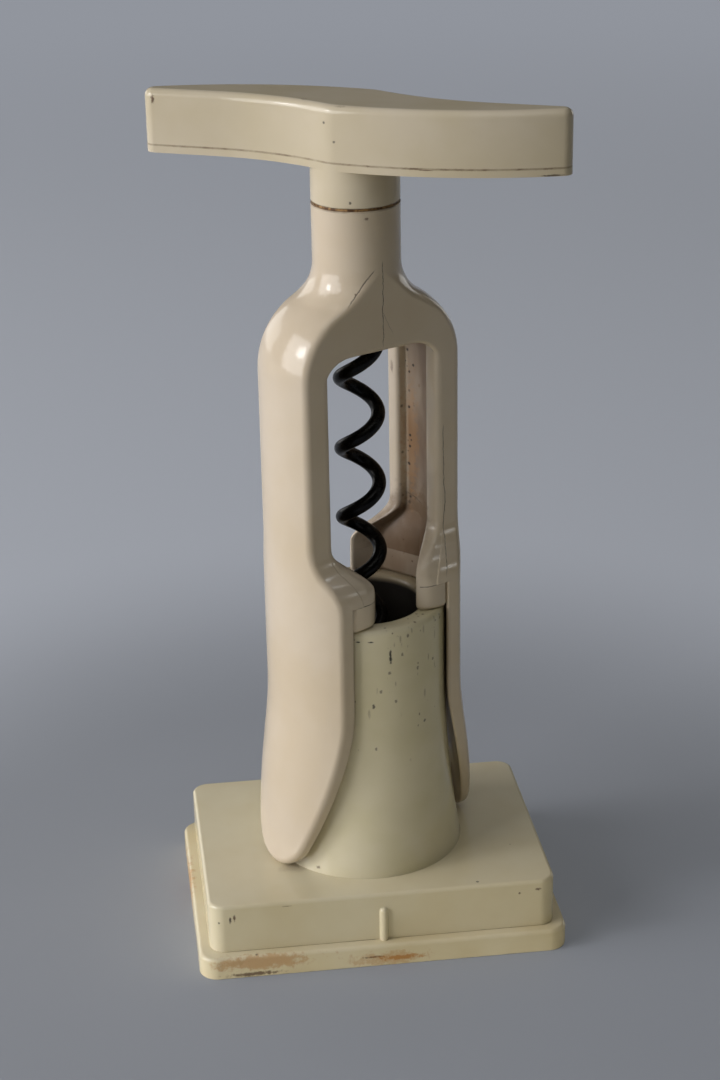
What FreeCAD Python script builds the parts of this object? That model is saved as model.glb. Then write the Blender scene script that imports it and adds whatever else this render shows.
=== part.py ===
import FreeCAD, Part
import math
import os
import re

import Sketcher
from FreeCAD import Placement, Rotation, Vector

# Self-pulling corkscrew on its stand, in millimetres.
# Z is up and is the axis of the screw, the yoke and the post. The origin is on the surface that the
# stand rests on. X runs through the yoke's two legs and Y looks through its window.

# Driving sizes. Each one can be changed by itself.
SIZES = {
    # Stand: tray, shell and post
    "stand_turn": 26.85,
    "tray_length": 70.9,
    "tray_depth": 52.8,
    "tray_height": 4.5,
    "tray_floor": 2.0,
    "tray_corner": 3.6,
    "tray_edge": 0.8,
    "shell_length": 66.6,
    "shell_depth": 48.4,
    "shell_height": 10.0,
    "shell_wall": 2.0,
    "shell_corner": 3.1,
    "shell_edge": 0.7,
    "rim_wall": 1.6,
    "rim_height": 3.0,
    "rim_gap": 0.1,
    "ridge_radius": 0.95,
    "ridge_height": 6.6,
    "post_radius": 15.62,
    "post_height": 50.8,
    "post_flare_start": 35.5,
    "post_flare_out": 2.9,
    "post_wall": 2.2,
    "post_lip_round": 1.1,
    "post_foot_wide": 3.0,
    "post_foot_thick": 2.0,
    "post_hole_gap": 0.04,
    "well_radius": 10.9,
    "well_wall": 2.0,
    "well_floor": 3.0,
    "well_lip_round": 0.5,
    # Yoke: neck, crown, legs and skirts
    "neck_radius": 8.0,
    "neck_bore": 5.6,
    "neck_top": 142.6,
    "neck_blend": 8.0,
    "crown_half": 8.04,
    "shoulder_height": 113.0,
    "shoulder_blend": 14.5,
    "leg_outer": 18.6,
    "leg_inner": 14.0,
    "leg_taper": 6.28,
    "leg_taper_height": 47.0,
    "leg_taper_blend": 60.0,
    "window_top": 116.7,
    "window_corner": 4.5,
    "skirt_inner": 16.3,
    "skirt_half": 12.9,
    "skirt_top": 69.5,
    "skirt_curve_height": 12.5,
    "skirt_side_end": 47.0,
    "tongue_radius": 8.0,
    "tongue_gap": 0.3,
    "yoke_outer_round": 1.6,
    "window_round": 0.8,
    "skirt_round": 0.4,
    "stop_height": 5.1,
    "stop_inner": 13.6,
    "stop_gap": 0.03,
    "stop_round": 0.4,
    # Washer
    "washer_thick": 0.5,
    "washer_inset": 0.35,
    # Handle
    "handle_turn": 51.45,
    "stem_length": 6.6,
    "handle_height": 11.4,
    "handle_half_length": 39.0,
    "handle_tip_radius": 2.0,
    "handle_outer_curve": 72.0,
    "handle_inner_curve": 47.0,
    "handle_wall": 1.2,
    "handle_top_round": 1.1,
    "cover_thick": 1.4,
    "cover_hub_gap": 0.1,
    # Screw
    "wire_radius": 1.3,
    "coil_radius": 3.48,
    "coil_pitch": 13.733,
    "coil_phase": 153.3,
    "coil_low": 22.0,
    "coil_high": 139.0,
    "point_length": 3.6,
    "point_end": 0.15,
    "shank_bend": 4.2,
    "shank_top_cover": 2.6,
    "shank_gap": 0.02,
}

# Sizes that follow from the driving ones, in the sheet's own formula language (angles in degrees).
FORMULAS = {
    "half_tray_length": "tray_length / 2",
    "half_tray_depth": "tray_depth / 2",
    "half_shell_length": "shell_length / 2",
    "half_shell_depth": "shell_depth / 2",
    "shell_top": "tray_height + shell_height",
    "shell_ceiling": "shell_top - shell_wall",
    "half_room_length": "half_shell_length - shell_wall",
    "half_room_depth": "half_shell_depth - shell_wall",
    "half_rim_length": "half_room_length - rim_gap",
    "half_rim_depth": "half_room_depth - rim_gap",
    "half_pan_length": "half_rim_length - rim_wall",
    "half_pan_depth": "half_rim_depth - rim_wall",
    "ridge_top": "tray_height + ridge_height - ridge_radius",
    # Post
    "post_top": "shell_top + post_height",
    "post_flare_top": "shell_top + post_flare_start",
    "post_flare_curve": "(post_flare_start ^ 2 + post_flare_out ^ 2) / (2 * post_flare_out)",
    "post_base": "post_radius + post_flare_out",
    "post_hole": "post_base + post_hole_gap",
    "post_foot": "post_base + post_foot_wide",
    "post_foot_bottom": "shell_ceiling - post_foot_thick",
    "post_lip_start": "post_top - post_lip_round",
    "post_lip_in": "post_radius - post_lip_round",
    "post_skirt_in": "post_base - post_wall",
    "well_outer": "well_radius + well_wall",
    "well_bottom": "tray_floor + well_floor",
    "well_lip_out": "well_radius + well_lip_round",
    "well_lip_start": "post_top - well_lip_round",
    "hollow_top_out": "post_radius - post_wall",
    # Yoke outer profile
    "bore_over": "neck_top + neck_radius",
    "neck_blend_x": "neck_radius + neck_blend",
    "shoulder_x": "leg_outer - shoulder_blend",
    "blend_sum": "neck_blend + shoulder_blend",
    "blend_rise": "sqrt(blend_sum ^ 2 - (neck_blend_x - shoulder_x) ^ 2)",
    "neck_blend_height": "shoulder_height + blend_rise",
    "join_x": "shoulder_x + shoulder_blend * (neck_blend_x - shoulder_x) / blend_sum",
    "join_height": "shoulder_height + shoulder_blend * blend_rise / blend_sum",
    "taper_run": "leg_taper_blend * tan(leg_taper / 2)",
    "taper_start": "leg_taper_height + taper_run",
    "taper_end": "leg_taper_height - taper_run * cos(leg_taper)",
    "taper_step": "taper_run * sin(leg_taper)",
    "taper_out_x": "leg_outer + taper_step",
    "taper_in_x": "skirt_inner + taper_step",
    "taper_drop": "(leg_taper_height - tray_height) * tan(leg_taper)",
    "taper_out_low": "leg_outer + taper_drop",
    "taper_in_low": "skirt_inner + taper_drop",
    "yoke_clear": "taper_out_low + skirt_half",
    # Yoke inner profile
    "stop_top": "post_top + stop_height",
    "window_corner_start": "window_top - window_corner",
    "window_corner_in": "leg_inner - window_corner",
    # Yoke side outline
    "skirt_step": "skirt_half - crown_half",
    "skirt_curve_top": "skirt_top + skirt_curve_height",
    "skirt_curve_mid": "skirt_top + skirt_curve_height / 2",
    "skirt_mid": "crown_half + skirt_step / 2",
    "skirt_curve": "(skirt_curve_height ^ 2 + skirt_step ^ 2) / (4 * skirt_step)",
    "tongue_bottom": "shell_top + tongue_gap",
    "tongue_centre": "tongue_bottom + tongue_radius",
    "tongue_drop": "skirt_side_end - tongue_centre",
    "tongue_narrow": "skirt_half - tongue_radius",
    "tongue_side_curve": "tongue_radius + (tongue_drop ^ 2 + tongue_narrow ^ 2) / (2 * tongue_narrow)",
    "tongue_join_part": "tongue_radius / (tongue_side_curve - tongue_radius)",
    "tongue_join_y": "(tongue_side_curve - skirt_half) * tongue_join_part",
    "tongue_join_height": "tongue_centre - tongue_drop * tongue_join_part",
    # Lip stops
    "stop_outer": "skirt_inner - stop_gap",
    "stop_ceiling": "stop_top - stop_gap",
    # Washer and handle heights
    "washer_outer": "neck_radius - washer_inset",
    "stem_bottom": "neck_top + washer_thick",
    "handle_bottom": "stem_bottom + stem_length",
    "cover_top": "handle_bottom + cover_thick",
    "handle_top": "handle_bottom + handle_height",
    "handle_rise": "handle_height - cover_thick",
    "hub_height": "handle_top - stem_bottom - handle_top_round",
    "hub_radius": "neck_radius",
    "cover_hub": "hub_radius + cover_hub_gap",
    "cover_split_x": "outer_x * handle_half_length / outer_hub_reach",
    "cover_split_y": "outer_y * handle_half_length / outer_hub_reach",
    # Handle plan: the long outer arc holds the hub circle and the tip circle inside it
    "handle_tip_x": "handle_half_length - handle_tip_radius",
    "outer_hub_reach": "handle_outer_curve - hub_radius",
    "outer_tip_reach": "handle_outer_curve - handle_tip_radius",
    "outer_x": "(handle_tip_x ^ 2 + outer_hub_reach ^ 2 - outer_tip_reach ^ 2) / (2 * handle_tip_x)",
    "outer_y": "sqrt(outer_hub_reach ^ 2 - outer_x ^ 2)",
    "plan_hub_out_x": "outer_x * hub_radius / outer_hub_reach",
    "plan_hub_out_y": "outer_y * hub_radius / outer_hub_reach",
    "plan_tip_x": "handle_tip_x + (handle_tip_x - outer_x) * handle_tip_radius / outer_tip_reach",
    "plan_tip_y": "outer_y * handle_tip_radius / outer_tip_reach",
    "inner_hub_reach": "handle_inner_curve + hub_radius",
    "inner_y": "handle_inner_curve + handle_tip_radius",
    "inner_x": "sqrt(inner_hub_reach ^ 2 - inner_y ^ 2)",
    "plan_hub_in_x": "inner_x * hub_radius / inner_hub_reach",
    "plan_hub_in_y": "inner_y * hub_radius / inner_hub_reach",
    # Screw
    "coil_rise": "coil_pitch / (2 * pi)",
    "coil_lean": "coil_rise / sqrt(coil_radius ^ 2 + coil_rise ^ 2)",
    "shank_shift": "shank_bend * (1 - coil_lean)",
    "shank_angle": "360 * coil_high / coil_pitch + coil_phase + handle_turn",
    "shank_x": "coil_radius * cos(shank_angle) - shank_shift * sin(shank_angle)",
    "shank_y": "coil_radius * sin(shank_angle) + shank_shift * cos(shank_angle)",
    "shank_top": "handle_top - shank_top_cover",
    "shank_length": "shank_top - stem_bottom",
    "shank_hole": "wire_radius + shank_gap",
}

# How near two heights count as one, and how near to 1 the share of a unit direction along an axis is.
TOUCH = 1e-6
# Steps of the coil in each turn, and points in each turn at which its gap to itself is measured.
STEPS_IN_TURN = 4
POINTS_IN_TURN = 24

doc = FreeCAD.newDocument("corkscrew")
sheet = doc.addObject("Spreadsheet::Sheet", "Sizes")


def fill_sheet():
    """Write every driving size as a plain number and every following size as a formula."""
    row = 1
    for name, number in SIZES.items():
        sheet.set(f"A{row}", name)
        sheet.set(f"B{row}", str(number))
        sheet.setAlias(f"B{row}", name)
        row += 1
    for name, formula in FORMULAS.items():
        sheet.set(f"A{row}", name)
        sheet.set(f"B{row}", "=" + formula)
        sheet.setAlias(f"B{row}", name)
        row += 1
    doc.recompute()


def size(name):
    """The number that the sheet holds for a named size."""
    return float(sheet.get(name))


def bind(thing, path, text):
    """Tie a property of a thing to an expression written with the sheet's names."""
    names = re.compile(r"\b[a-z][a-z_]*\b")
    known = {**SIZES, **FORMULAS}
    thing.setExpression(path, names.sub(lambda hit: "Sizes." + hit[0] if hit[0] in known else hit[0], text))


# Sketches


def new_body(label):
    body = doc.addObject("PartDesign::Body", label)
    body.Label = label
    return body


def new_sketch(body, name, role, height=None):
    """An empty sketch on one of the body's own origin planes, raised to a named height if one is given."""
    plane = [item for item in body.Origin.OriginFeatures if item.Role == role][0]
    sketch = body.newObject("Sketcher::SketchObject", name)
    sketch.AttachmentSupport = [(plane, "")]
    sketch.MapMode = "FlatFace"
    if height:
        bind(sketch, ".AttachmentOffset.Base.z", height)
    return sketch


def signed(name):
    """The number of a coordinate such as "post_top" or "-post_top", or 0 for an empty name."""
    if not name:
        return 0.0
    return -size(name[1:]) if name.startswith("-") else size(name)


def fix_distance(sketch, kind, geometry, point, name, tag):
    """Hold one coordinate of a point at a named distance from the sketch's origin."""
    if not name:
        axis = -2 if kind == "DistanceX" else -1
        sketch.addConstraint(Sketcher.Constraint("PointOnObject", geometry, point, axis))
        return
    value = size(name.lstrip("-"))
    if name.startswith("-"):
        rule = Sketcher.Constraint(kind, geometry, point, -1, 1, value)
    else:
        rule = Sketcher.Constraint(kind, -1, 1, geometry, point, value)
    index = sketch.addConstraint(rule)
    sketch.renameConstraint(index, tag)
    bind(sketch, "Constraints." + tag, name.lstrip("-"))


def arc_between(start, end, radius, left):
    """The minor arc from start to end, and whether it runs anticlockwise. It bulges left or right."""
    chord = end - start
    half = chord.Length / 2
    rise = math.sqrt(max(radius**2 - half**2, 0.0))
    normal = Vector(-chord.y, chord.x, 0).normalize()
    centre = (start + end) / 2 - normal * rise * (1 if left else -1)
    first = math.atan2(start.y - centre.y, start.x - centre.x)
    last = math.atan2(end.y - centre.y, end.x - centre.x)
    circle = Part.Circle(centre, Vector(0, 0, 1), radius)
    if left:
        return Part.ArcOfCircle(circle, last, first), False
    return Part.ArcOfCircle(circle, first, last), True


def add_loop(sketch, points, arcs, tag=""):
    """A closed outline through named points. arcs gives, for a point's number, the named radius of the
    arc that leaves it and the side that it bulges to."""
    places = [Vector(signed(x), signed(y), 0) for x, y in points]
    ends = []
    for index, start in enumerate(places):
        end = places[(index + 1) % len(places)]
        if index in arcs:
            radius, side = arcs[index]
            curve, forward = arc_between(start, end, size(radius), side == "left")
            number = sketch.addGeometry(curve, False)
            rule = sketch.addConstraint(Sketcher.Constraint("Radius", number, size(radius)))
            sketch.renameConstraint(rule, f"{tag}r{index}")
            bind(sketch, f"Constraints.{tag}r{index}", radius)
            ends.append((number, 1, 2) if forward else (number, 2, 1))
        else:
            ends.append((sketch.addGeometry(Part.LineSegment(start, end), False), 1, 2))
    for index, (x, y) in enumerate(points):
        number, first, last = ends[index]
        before, before_first, before_last = ends[index - 1]
        sketch.addConstraint(Sketcher.Constraint("Coincident", before, before_last, number, first))
        fix_distance(sketch, "DistanceX", number, first, x, f"{tag}x{index}")
        fix_distance(sketch, "DistanceY", number, first, y, f"{tag}y{index}")


def add_rectangle(sketch, half_x, half_y, tag=""):
    """A rectangle about the origin."""
    corners = [("-" + half_x, "-" + half_y), (half_x, "-" + half_y), (half_x, half_y), ("-" + half_x, half_y)]
    add_loop(sketch, corners, {}, tag)


def add_circle(sketch, radius, tag="", centre=("", "")):
    place = Vector(signed(centre[0]), signed(centre[1]), 0)
    number = sketch.addGeometry(Part.Circle(place, Vector(0, 0, 1), size(radius)), False)
    rule = sketch.addConstraint(Sketcher.Constraint("Radius", number, size(radius)))
    sketch.renameConstraint(rule, tag + "radius")
    bind(sketch, f"Constraints.{tag}radius", radius)
    fix_distance(sketch, "DistanceX", number, 3, centre[0], tag + "cx")
    fix_distance(sketch, "DistanceY", number, 3, centre[1], tag + "cy")


# Features


def extrude(body, kind, name, sketch, length, both=False, back=False):
    """A pad or pocket of a named length, along the sketch's normal, both ways or backwards."""
    feature = body.newObject("PartDesign::" + kind, name)
    feature.Profile = sketch
    feature.Type = "Length"
    if both:
        feature.SideType = "Symmetric"
    feature.Reversed = back
    bind(feature, "Length", length)
    doc.recompute()
    return feature


def turn(body, kind, name, sketch):
    """A revolution or groove of a full turn about the vertical axis."""
    feature = body.newObject("PartDesign::" + kind, name)
    feature.Profile = sketch
    feature.ReferenceAxis = (sketch, ["V_Axis"])
    feature.Angle = 360
    doc.recompute()
    return feature


def round_edges(body, name, base, radius, wanted):
    """Fillet the edges of a feature that a test picks."""
    picked = [f"Edge{n + 1}" for n, edge in enumerate(base.Shape.Edges) if wanted(edge)]
    feature = body.newObject("PartDesign::Fillet", name)
    feature.Base = (base, picked)
    bind(feature, "Radius", radius)
    doc.recompute()
    return feature


def upright(edge):
    """Whether an edge is straight and vertical."""
    if not isinstance(edge.Curve, Part.Line):
        return False
    return abs(edge.Curve.Direction.z) > 1 - TOUCH


def at_height(edge, height):
    """Whether a whole edge lies at one height."""
    box = edge.BoundBox
    return abs(box.ZMin - height) < TOUCH and abs(box.ZMax - height) < TOUCH


def yaw(body, angle):
    """Turn a body clockwise about Z, as seen from above, by a named angle."""
    body.Placement = Placement(Vector(), Rotation(Vector(0, 0, -1), size(angle)))
    bind(body, ".Placement.Rotation.Angle", angle)


# Stand


def make_base_tray():
    body = new_body("base_tray")
    outline = new_sketch(body, "TrayOutline", "XY_Plane")
    add_rectangle(outline, "half_tray_length", "half_tray_depth")
    slab = extrude(body, "Pad", "TraySlab", outline, "tray_height")
    corners = round_edges(body, "TrayCorners", slab, "tray_corner", upright)
    top = size("tray_height")
    edged = round_edges(body, "TrayEdge", corners, "tray_edge", lambda edge: at_height(edge, top))
    rim = new_sketch(body, "RimOutline", "XY_Plane", "tray_height")
    add_rectangle(rim, "half_rim_length", "half_rim_depth", "out")
    add_rectangle(rim, "half_pan_length", "half_pan_depth", "in")
    extrude(body, "Pad", "LocatingRim", rim, "rim_height")
    pan = new_sketch(body, "PanOutline", "XY_Plane", "tray_height")
    add_rectangle(pan, "half_pan_length", "half_pan_depth")
    extrude(body, "Pocket", "Pan", pan, "tray_height - tray_floor")
    yaw(body, "stand_turn")
    return body


def make_base_shell():
    body = new_body("base_shell")
    outline = new_sketch(body, "ShellOutline", "XY_Plane", "tray_height")
    add_rectangle(outline, "half_shell_length", "half_shell_depth")
    block = extrude(body, "Pad", "ShellBlock", outline, "shell_height")
    corners = round_edges(body, "ShellCorners", block, "shell_corner", upright)
    top = size("shell_top")
    round_edges(body, "ShellEdge", corners, "shell_edge", lambda edge: at_height(edge, top))
    room = new_sketch(body, "RoomOutline", "XY_Plane", "tray_height")
    add_rectangle(room, "half_room_length", "half_room_depth")
    extrude(body, "Pocket", "Room", room, "shell_height - shell_wall", back=True)
    hole = new_sketch(body, "PostHole", "XY_Plane", "shell_top")
    add_circle(hole, "post_hole")
    extrude(body, "Pocket", "PostOpening", hole, "shell_height")
    ridge = new_sketch(body, "RidgeOutline", "XY_Plane", "tray_height")
    add_circle(ridge, "ridge_radius", "ridge", ("", "-half_shell_depth"))
    extrude(body, "Pad", "FrontRidge", ridge, "ridge_height - ridge_radius")
    dome = body.newObject("PartDesign::AdditiveSphere", "RidgeTop")
    bind(dome, "Radius", "ridge_radius")
    bind(dome, ".Placement.Base.y", "-half_shell_depth")
    bind(dome, ".Placement.Base.z", "ridge_top")
    doc.recompute()
    yaw(body, "stand_turn")
    return body


def make_stand_post():
    body = new_body("stand_post")
    profile = new_sketch(body, "PostProfile", "XZ_Plane")
    points = [
        ("", "tray_floor"),
        ("well_outer", "tray_floor"),
        ("well_outer", "post_flare_top"),
        ("hollow_top_out", "post_flare_top"),
        ("post_skirt_in", "post_foot_bottom"),
        ("post_foot", "post_foot_bottom"),
        ("post_foot", "shell_ceiling"),
        ("post_base", "shell_ceiling"),
        ("post_base", "shell_top"),
        ("post_radius", "post_flare_top"),
        ("post_radius", "post_lip_start"),
        ("post_lip_in", "post_top"),
        ("well_lip_out", "post_top"),
        ("well_radius", "well_lip_start"),
        ("well_radius", "well_bottom"),
        ("", "well_bottom"),
    ]
    arcs = {
        8: ("post_flare_curve", "left"),
        10: ("post_lip_round", "right"),
        12: ("well_lip_round", "right"),
    }
    add_loop(profile, points, arcs)
    turn(body, "Revolution", "PostTurned", profile)
    yaw(body, "stand_turn")
    return body


# Yoke


def side_outline(sketch):
    """The yoke seen along X: narrow crown, S-curves out to the skirts, and rounded tongues."""
    right = [
        ("skirt_half", "skirt_side_end"),
        ("skirt_half", "skirt_top"),
        ("skirt_mid", "skirt_curve_mid"),
        ("crown_half", "skirt_curve_top"),
        ("crown_half", "neck_top"),
    ]
    left = [("-" + y, z) for y, z in reversed(right)]
    tongue = [("tongue_join_y", "tongue_join_height")]
    points = right + left + [("-tongue_join_y", "tongue_join_height"), ("", "tongue_bottom")] + tongue
    arcs = {
        1: ("skirt_curve", "right"),
        2: ("skirt_curve", "left"),
        6: ("skirt_curve", "left"),
        7: ("skirt_curve", "right"),
        9: ("tongue_side_curve", "right"),
        10: ("tongue_radius", "right"),
        11: ("tongue_radius", "right"),
        12: ("tongue_side_curve", "right"),
    }
    add_loop(sketch, points, arcs)


def is_drawn_edge(shape, edge):
    """Whether an edge lies between a face of the side outline and a face turned about Z."""
    drawn = 0
    for face in shape.ancestorsOfType(edge, Part.Face):
        surface = face.Surface
        if isinstance(surface, Part.Plane) and abs(surface.Axis.y) > 1 - TOUCH:
            drawn += 1
        if isinstance(surface, Part.Cylinder) and abs(surface.Axis.x) > 1 - TOUCH:
            drawn += 1
    return drawn == 1


def wall_middle(height):
    """The distance from the axis to the middle of a leg's wall at a height."""
    inner = size("leg_inner") if height > size("stop_top") else size("skirt_inner")
    below = max(0.0, size("leg_taper_height") - height)
    return (inner + size("leg_outer")) / 2 + below * math.tan(math.radians(size("leg_taper")))


def is_outer_edge(edge):
    """Whether an edge runs along the outside of a leg, up to where the crown's edge stays crisp."""
    top = edge.BoundBox.ZMax
    middle = edge.valueAt((edge.FirstParameter + edge.LastParameter) / 2)
    beyond = math.hypot(middle.x, middle.y) > wall_middle(middle.z)
    return top < size("join_height") + TOUCH and (top > size("window_top") + TOUCH or beyond)


def is_inner_edge(edge, above_shelf):
    """Whether an edge runs along the window, above the shelf, or along the inside of a skirt below it."""
    box = edge.BoundBox
    middle = edge.valueAt((edge.FirstParameter + edge.LastParameter) / 2)
    if at_height(edge, size("stop_top")) or box.ZMax > size("window_top") + TOUCH:
        return False
    if math.hypot(middle.x, middle.y) > wall_middle(middle.z):
        return False
    return (middle.z > size("stop_top")) == above_shelf


def make_yoke_frame():
    body = new_body("yoke_frame")
    side = new_sketch(body, "SideOutline", "YZ_Plane")
    side_outline(side)
    extrude(body, "Pad", "YokeBlank", side, "2 * taper_out_low", both=True)

    outer = new_sketch(body, "OuterProfile", "YZ_Plane")
    outer_points = [
        ("neck_radius", "bore_over"),
        ("neck_radius", "neck_blend_height"),
        ("join_x", "join_height"),
        ("leg_outer", "shoulder_height"),
        ("leg_outer", "taper_start"),
        ("taper_out_x", "taper_end"),
        ("taper_out_low", "tray_height"),
        ("yoke_clear", "tray_height"),
        ("yoke_clear", "bore_over"),
    ]
    outer_arcs = {
        1: ("neck_blend", "right"),
        2: ("shoulder_blend", "left"),
        4: ("leg_taper_blend", "right"),
    }
    add_loop(outer, outer_points, outer_arcs)
    turn(body, "Groove", "OuterTurned", outer)

    inner = new_sketch(body, "InnerProfile", "YZ_Plane")
    inner_points = [
        ("", "tray_height"),
        ("taper_in_low", "tray_height"),
        ("taper_in_x", "taper_end"),
        ("skirt_inner", "taper_start"),
        ("skirt_inner", "stop_top"),
        ("leg_inner", "stop_top"),
        ("leg_inner", "window_corner_start"),
        ("window_corner_in", "window_top"),
        ("neck_bore", "window_top"),
        ("neck_bore", "bore_over"),
        ("", "bore_over"),
    ]
    inner_arcs = {
        2: ("leg_taper_blend", "left"),
        6: ("window_corner", "right"),
    }
    add_loop(inner, inner_points, inner_arcs)
    bare = turn(body, "Groove", "InnerTurned", inner)
    outer_round = round_edges(
        body, "OuterEdges", bare, "yoke_outer_round",
        lambda edge: is_drawn_edge(bare.Shape, edge) and is_outer_edge(edge),
    )
    window_round = round_edges(
        body, "WindowEdges", outer_round, "window_round",
        lambda edge: is_drawn_edge(outer_round.Shape, edge) and is_inner_edge(edge, above_shelf=True),
    )
    round_edges(
        body, "SkirtEdges", window_round, "skirt_round",
        lambda edge: is_drawn_edge(window_round.Shape, edge) and is_inner_edge(edge, above_shelf=False),
    )
    return body


def make_lip_stop(label, side):
    """A ring segment under the yoke's shelf, with its ends flush with the leg's edges."""
    body = new_body(label)
    section = new_sketch(body, "StopSection", "XZ_Plane")
    points = [
        ("stop_inner", "post_top"),
        ("stop_outer", "post_top"),
        ("stop_outer", "stop_ceiling"),
        ("stop_inner", "stop_ceiling"),
    ]
    add_loop(section, points, {})
    ring = turn(body, "Revolution", "StopRing", section)
    low = size("post_top")
    inner = size("stop_inner")
    round_edges(
        body, "StopLip", ring, "stop_round",
        lambda edge: at_height(edge, low) and abs(edge.BoundBox.XMax - inner) < TOUCH,
    )
    keep = new_sketch(body, "StopReach", "XY_Plane", "post_top")
    far = "yoke_clear"
    for sign in ("", "-"):
        band = [
            ("-" + far, sign + "skirt_half"),
            (far, sign + "skirt_half"),
            (far, sign + far),
            ("-" + far, sign + far),
        ]
        add_loop(keep, band, {}, "band" if sign else "side")
    extrude(body, "Pocket", "StopEnds", keep, "stop_height", back=True)
    other = "-" if side > 0 else ""
    half = new_sketch(body, "StopHalf", "XY_Plane", "post_top")
    add_loop(half, [("", "-" + far), (other + far, "-" + far), (other + far, far), ("", far)], {})
    extrude(body, "Pocket", "StopOneSide", half, "stop_height", back=True)
    return body


# Handle and washer


def make_thrust_washer():
    body = new_body("thrust_washer")
    ring = new_sketch(body, "WasherOutline", "XY_Plane", "neck_top")
    add_circle(ring, "washer_outer", "out")
    add_circle(ring, "neck_bore", "in")
    extrude(body, "Pad", "WasherDisc", ring, "washer_thick")
    return body


def handle_plan(sketch):
    """The S-shaped plan of the handle, the same when turned half round."""
    half = [
        ("-plan_hub_out_x", "-plan_hub_out_y"),
        ("plan_tip_x", "-plan_tip_y"),
        ("handle_tip_x", "handle_tip_radius"),
        ("inner_x", "handle_tip_radius"),
        ("plan_hub_in_x", "plan_hub_in_y"),
    ]
    other = [(("-" + x).replace("--", ""), ("-" + y).replace("--", "")) for x, y in half]
    arcs = {}
    for start in (0, len(half)):
        arcs[start] = ("handle_outer_curve", "right")
        arcs[start + 1] = ("handle_tip_radius", "right")
        arcs[start + 3] = ("handle_inner_curve", "left")
        arcs[start + 4] = ("hub_radius", "right")
    add_loop(sketch, half + other, arcs)


def make_handle_shell():
    body = new_body("handle_shell")
    plan = new_sketch(body, "HandlePlan", "XY_Plane", "cover_top")
    handle_plan(plan)
    slab = extrude(body, "Pad", "HandleSlab", plan, "handle_rise")
    low = size("cover_top")
    faces = [f"Face{n + 1}" for n, face in enumerate(slab.Shape.Faces) if face.BoundBox.ZMax < low + TOUCH]
    hollow = body.newObject("PartDesign::Thickness", "HandleHollow")
    hollow.Base = (slab, faces)
    hollow.Reversed = True
    bind(hollow, "Value", "handle_wall")
    doc.recompute()
    stem = new_sketch(body, "StemCircle", "XY_Plane", "stem_bottom")
    add_circle(stem, "hub_radius")
    filled = extrude(body, "Pad", "Stem", stem, "hub_height")
    top = size("handle_top")
    round_edges(body, "HandleTopEdge", filled, "handle_top_round", lambda edge: at_height(edge, top))
    bore = new_sketch(body, "ShankCircle", "XY_Plane", "stem_bottom")
    add_circle(bore, "shank_hole", "shank", ("shank_x", "shank_y"))
    extrude(body, "Pocket", "ShankBore", bore, "shank_length", back=True)
    yaw(body, "handle_turn")
    return body


def make_handle_cover(label, side):
    """The strip under one arm. The line between the arms joins the points where the outer arcs start."""
    body = new_body(label)
    plan = new_sketch(body, "CoverPlan", "XY_Plane", "handle_bottom")
    handle_plan(plan)
    extrude(body, "Pad", "CoverSlab", plan, "cover_thick")
    hub = new_sketch(body, "HubCircle", "XY_Plane", "handle_bottom")
    add_circle(hub, "cover_hub")
    extrude(body, "Pocket", "HubOpening", hub, "cover_thick", back=True)
    far = "-handle_half_length" if side > 0 else "handle_half_length"
    half = new_sketch(body, "OtherArm", "XY_Plane", "handle_bottom")
    corners = [
        ("-cover_split_x", "-cover_split_y"),
        ("cover_split_x", "cover_split_y"),
        (far, "cover_split_y"),
        (far, "-cover_split_y"),
    ]
    add_loop(half, corners, {})
    extrude(body, "Pocket", "OneArm", half, "cover_thick", back=True)
    yaw(body, "handle_turn")
    return body


# Screw


def coil_point(height):
    """The middle of the wire where the right-handed coil reaches a height."""
    angle = math.radians(360 * height / size("coil_pitch") + size("coil_phase"))
    radius = size("coil_radius")
    return Vector(radius * math.cos(angle), radius * math.sin(angle), height)


def coil_heading(height):
    """The unit direction in which the coil climbs at a height."""
    here = coil_point(height)
    return Vector(-here.y, here.x, size("coil_rise")).normalize()


def arc_from(start, heading, end):
    """The arc that leaves start along a heading and ends at end."""
    chord = end - start
    middle = (start + end) / 2
    half = chord.Length / 2
    along = chord.normalize()
    side = (heading - along * heading.dot(along)).normalize()
    rise = half * math.tan(heading.getAngle(along) / 2)
    return Part.Arc(start, middle + side * rise, end).toShape()


def biarc(start, heading, end, end_heading):
    """Two arcs that join smoothly and keep both end directions."""
    chord = end - start
    turn_sum = heading + end_heading
    spread = 2 * (1 - heading.dot(end_heading))
    across = chord.dot(turn_sum)
    reach = (math.sqrt(across**2 + spread * chord.dot(chord)) - across) / spread
    joint = (start + end + (heading - end_heading) * reach) / 2
    joint_heading = (end - end_heading * reach - start - heading * reach).normalize()
    return [arc_from(start, heading, joint), arc_from(joint, joint_heading, end)]


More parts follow.
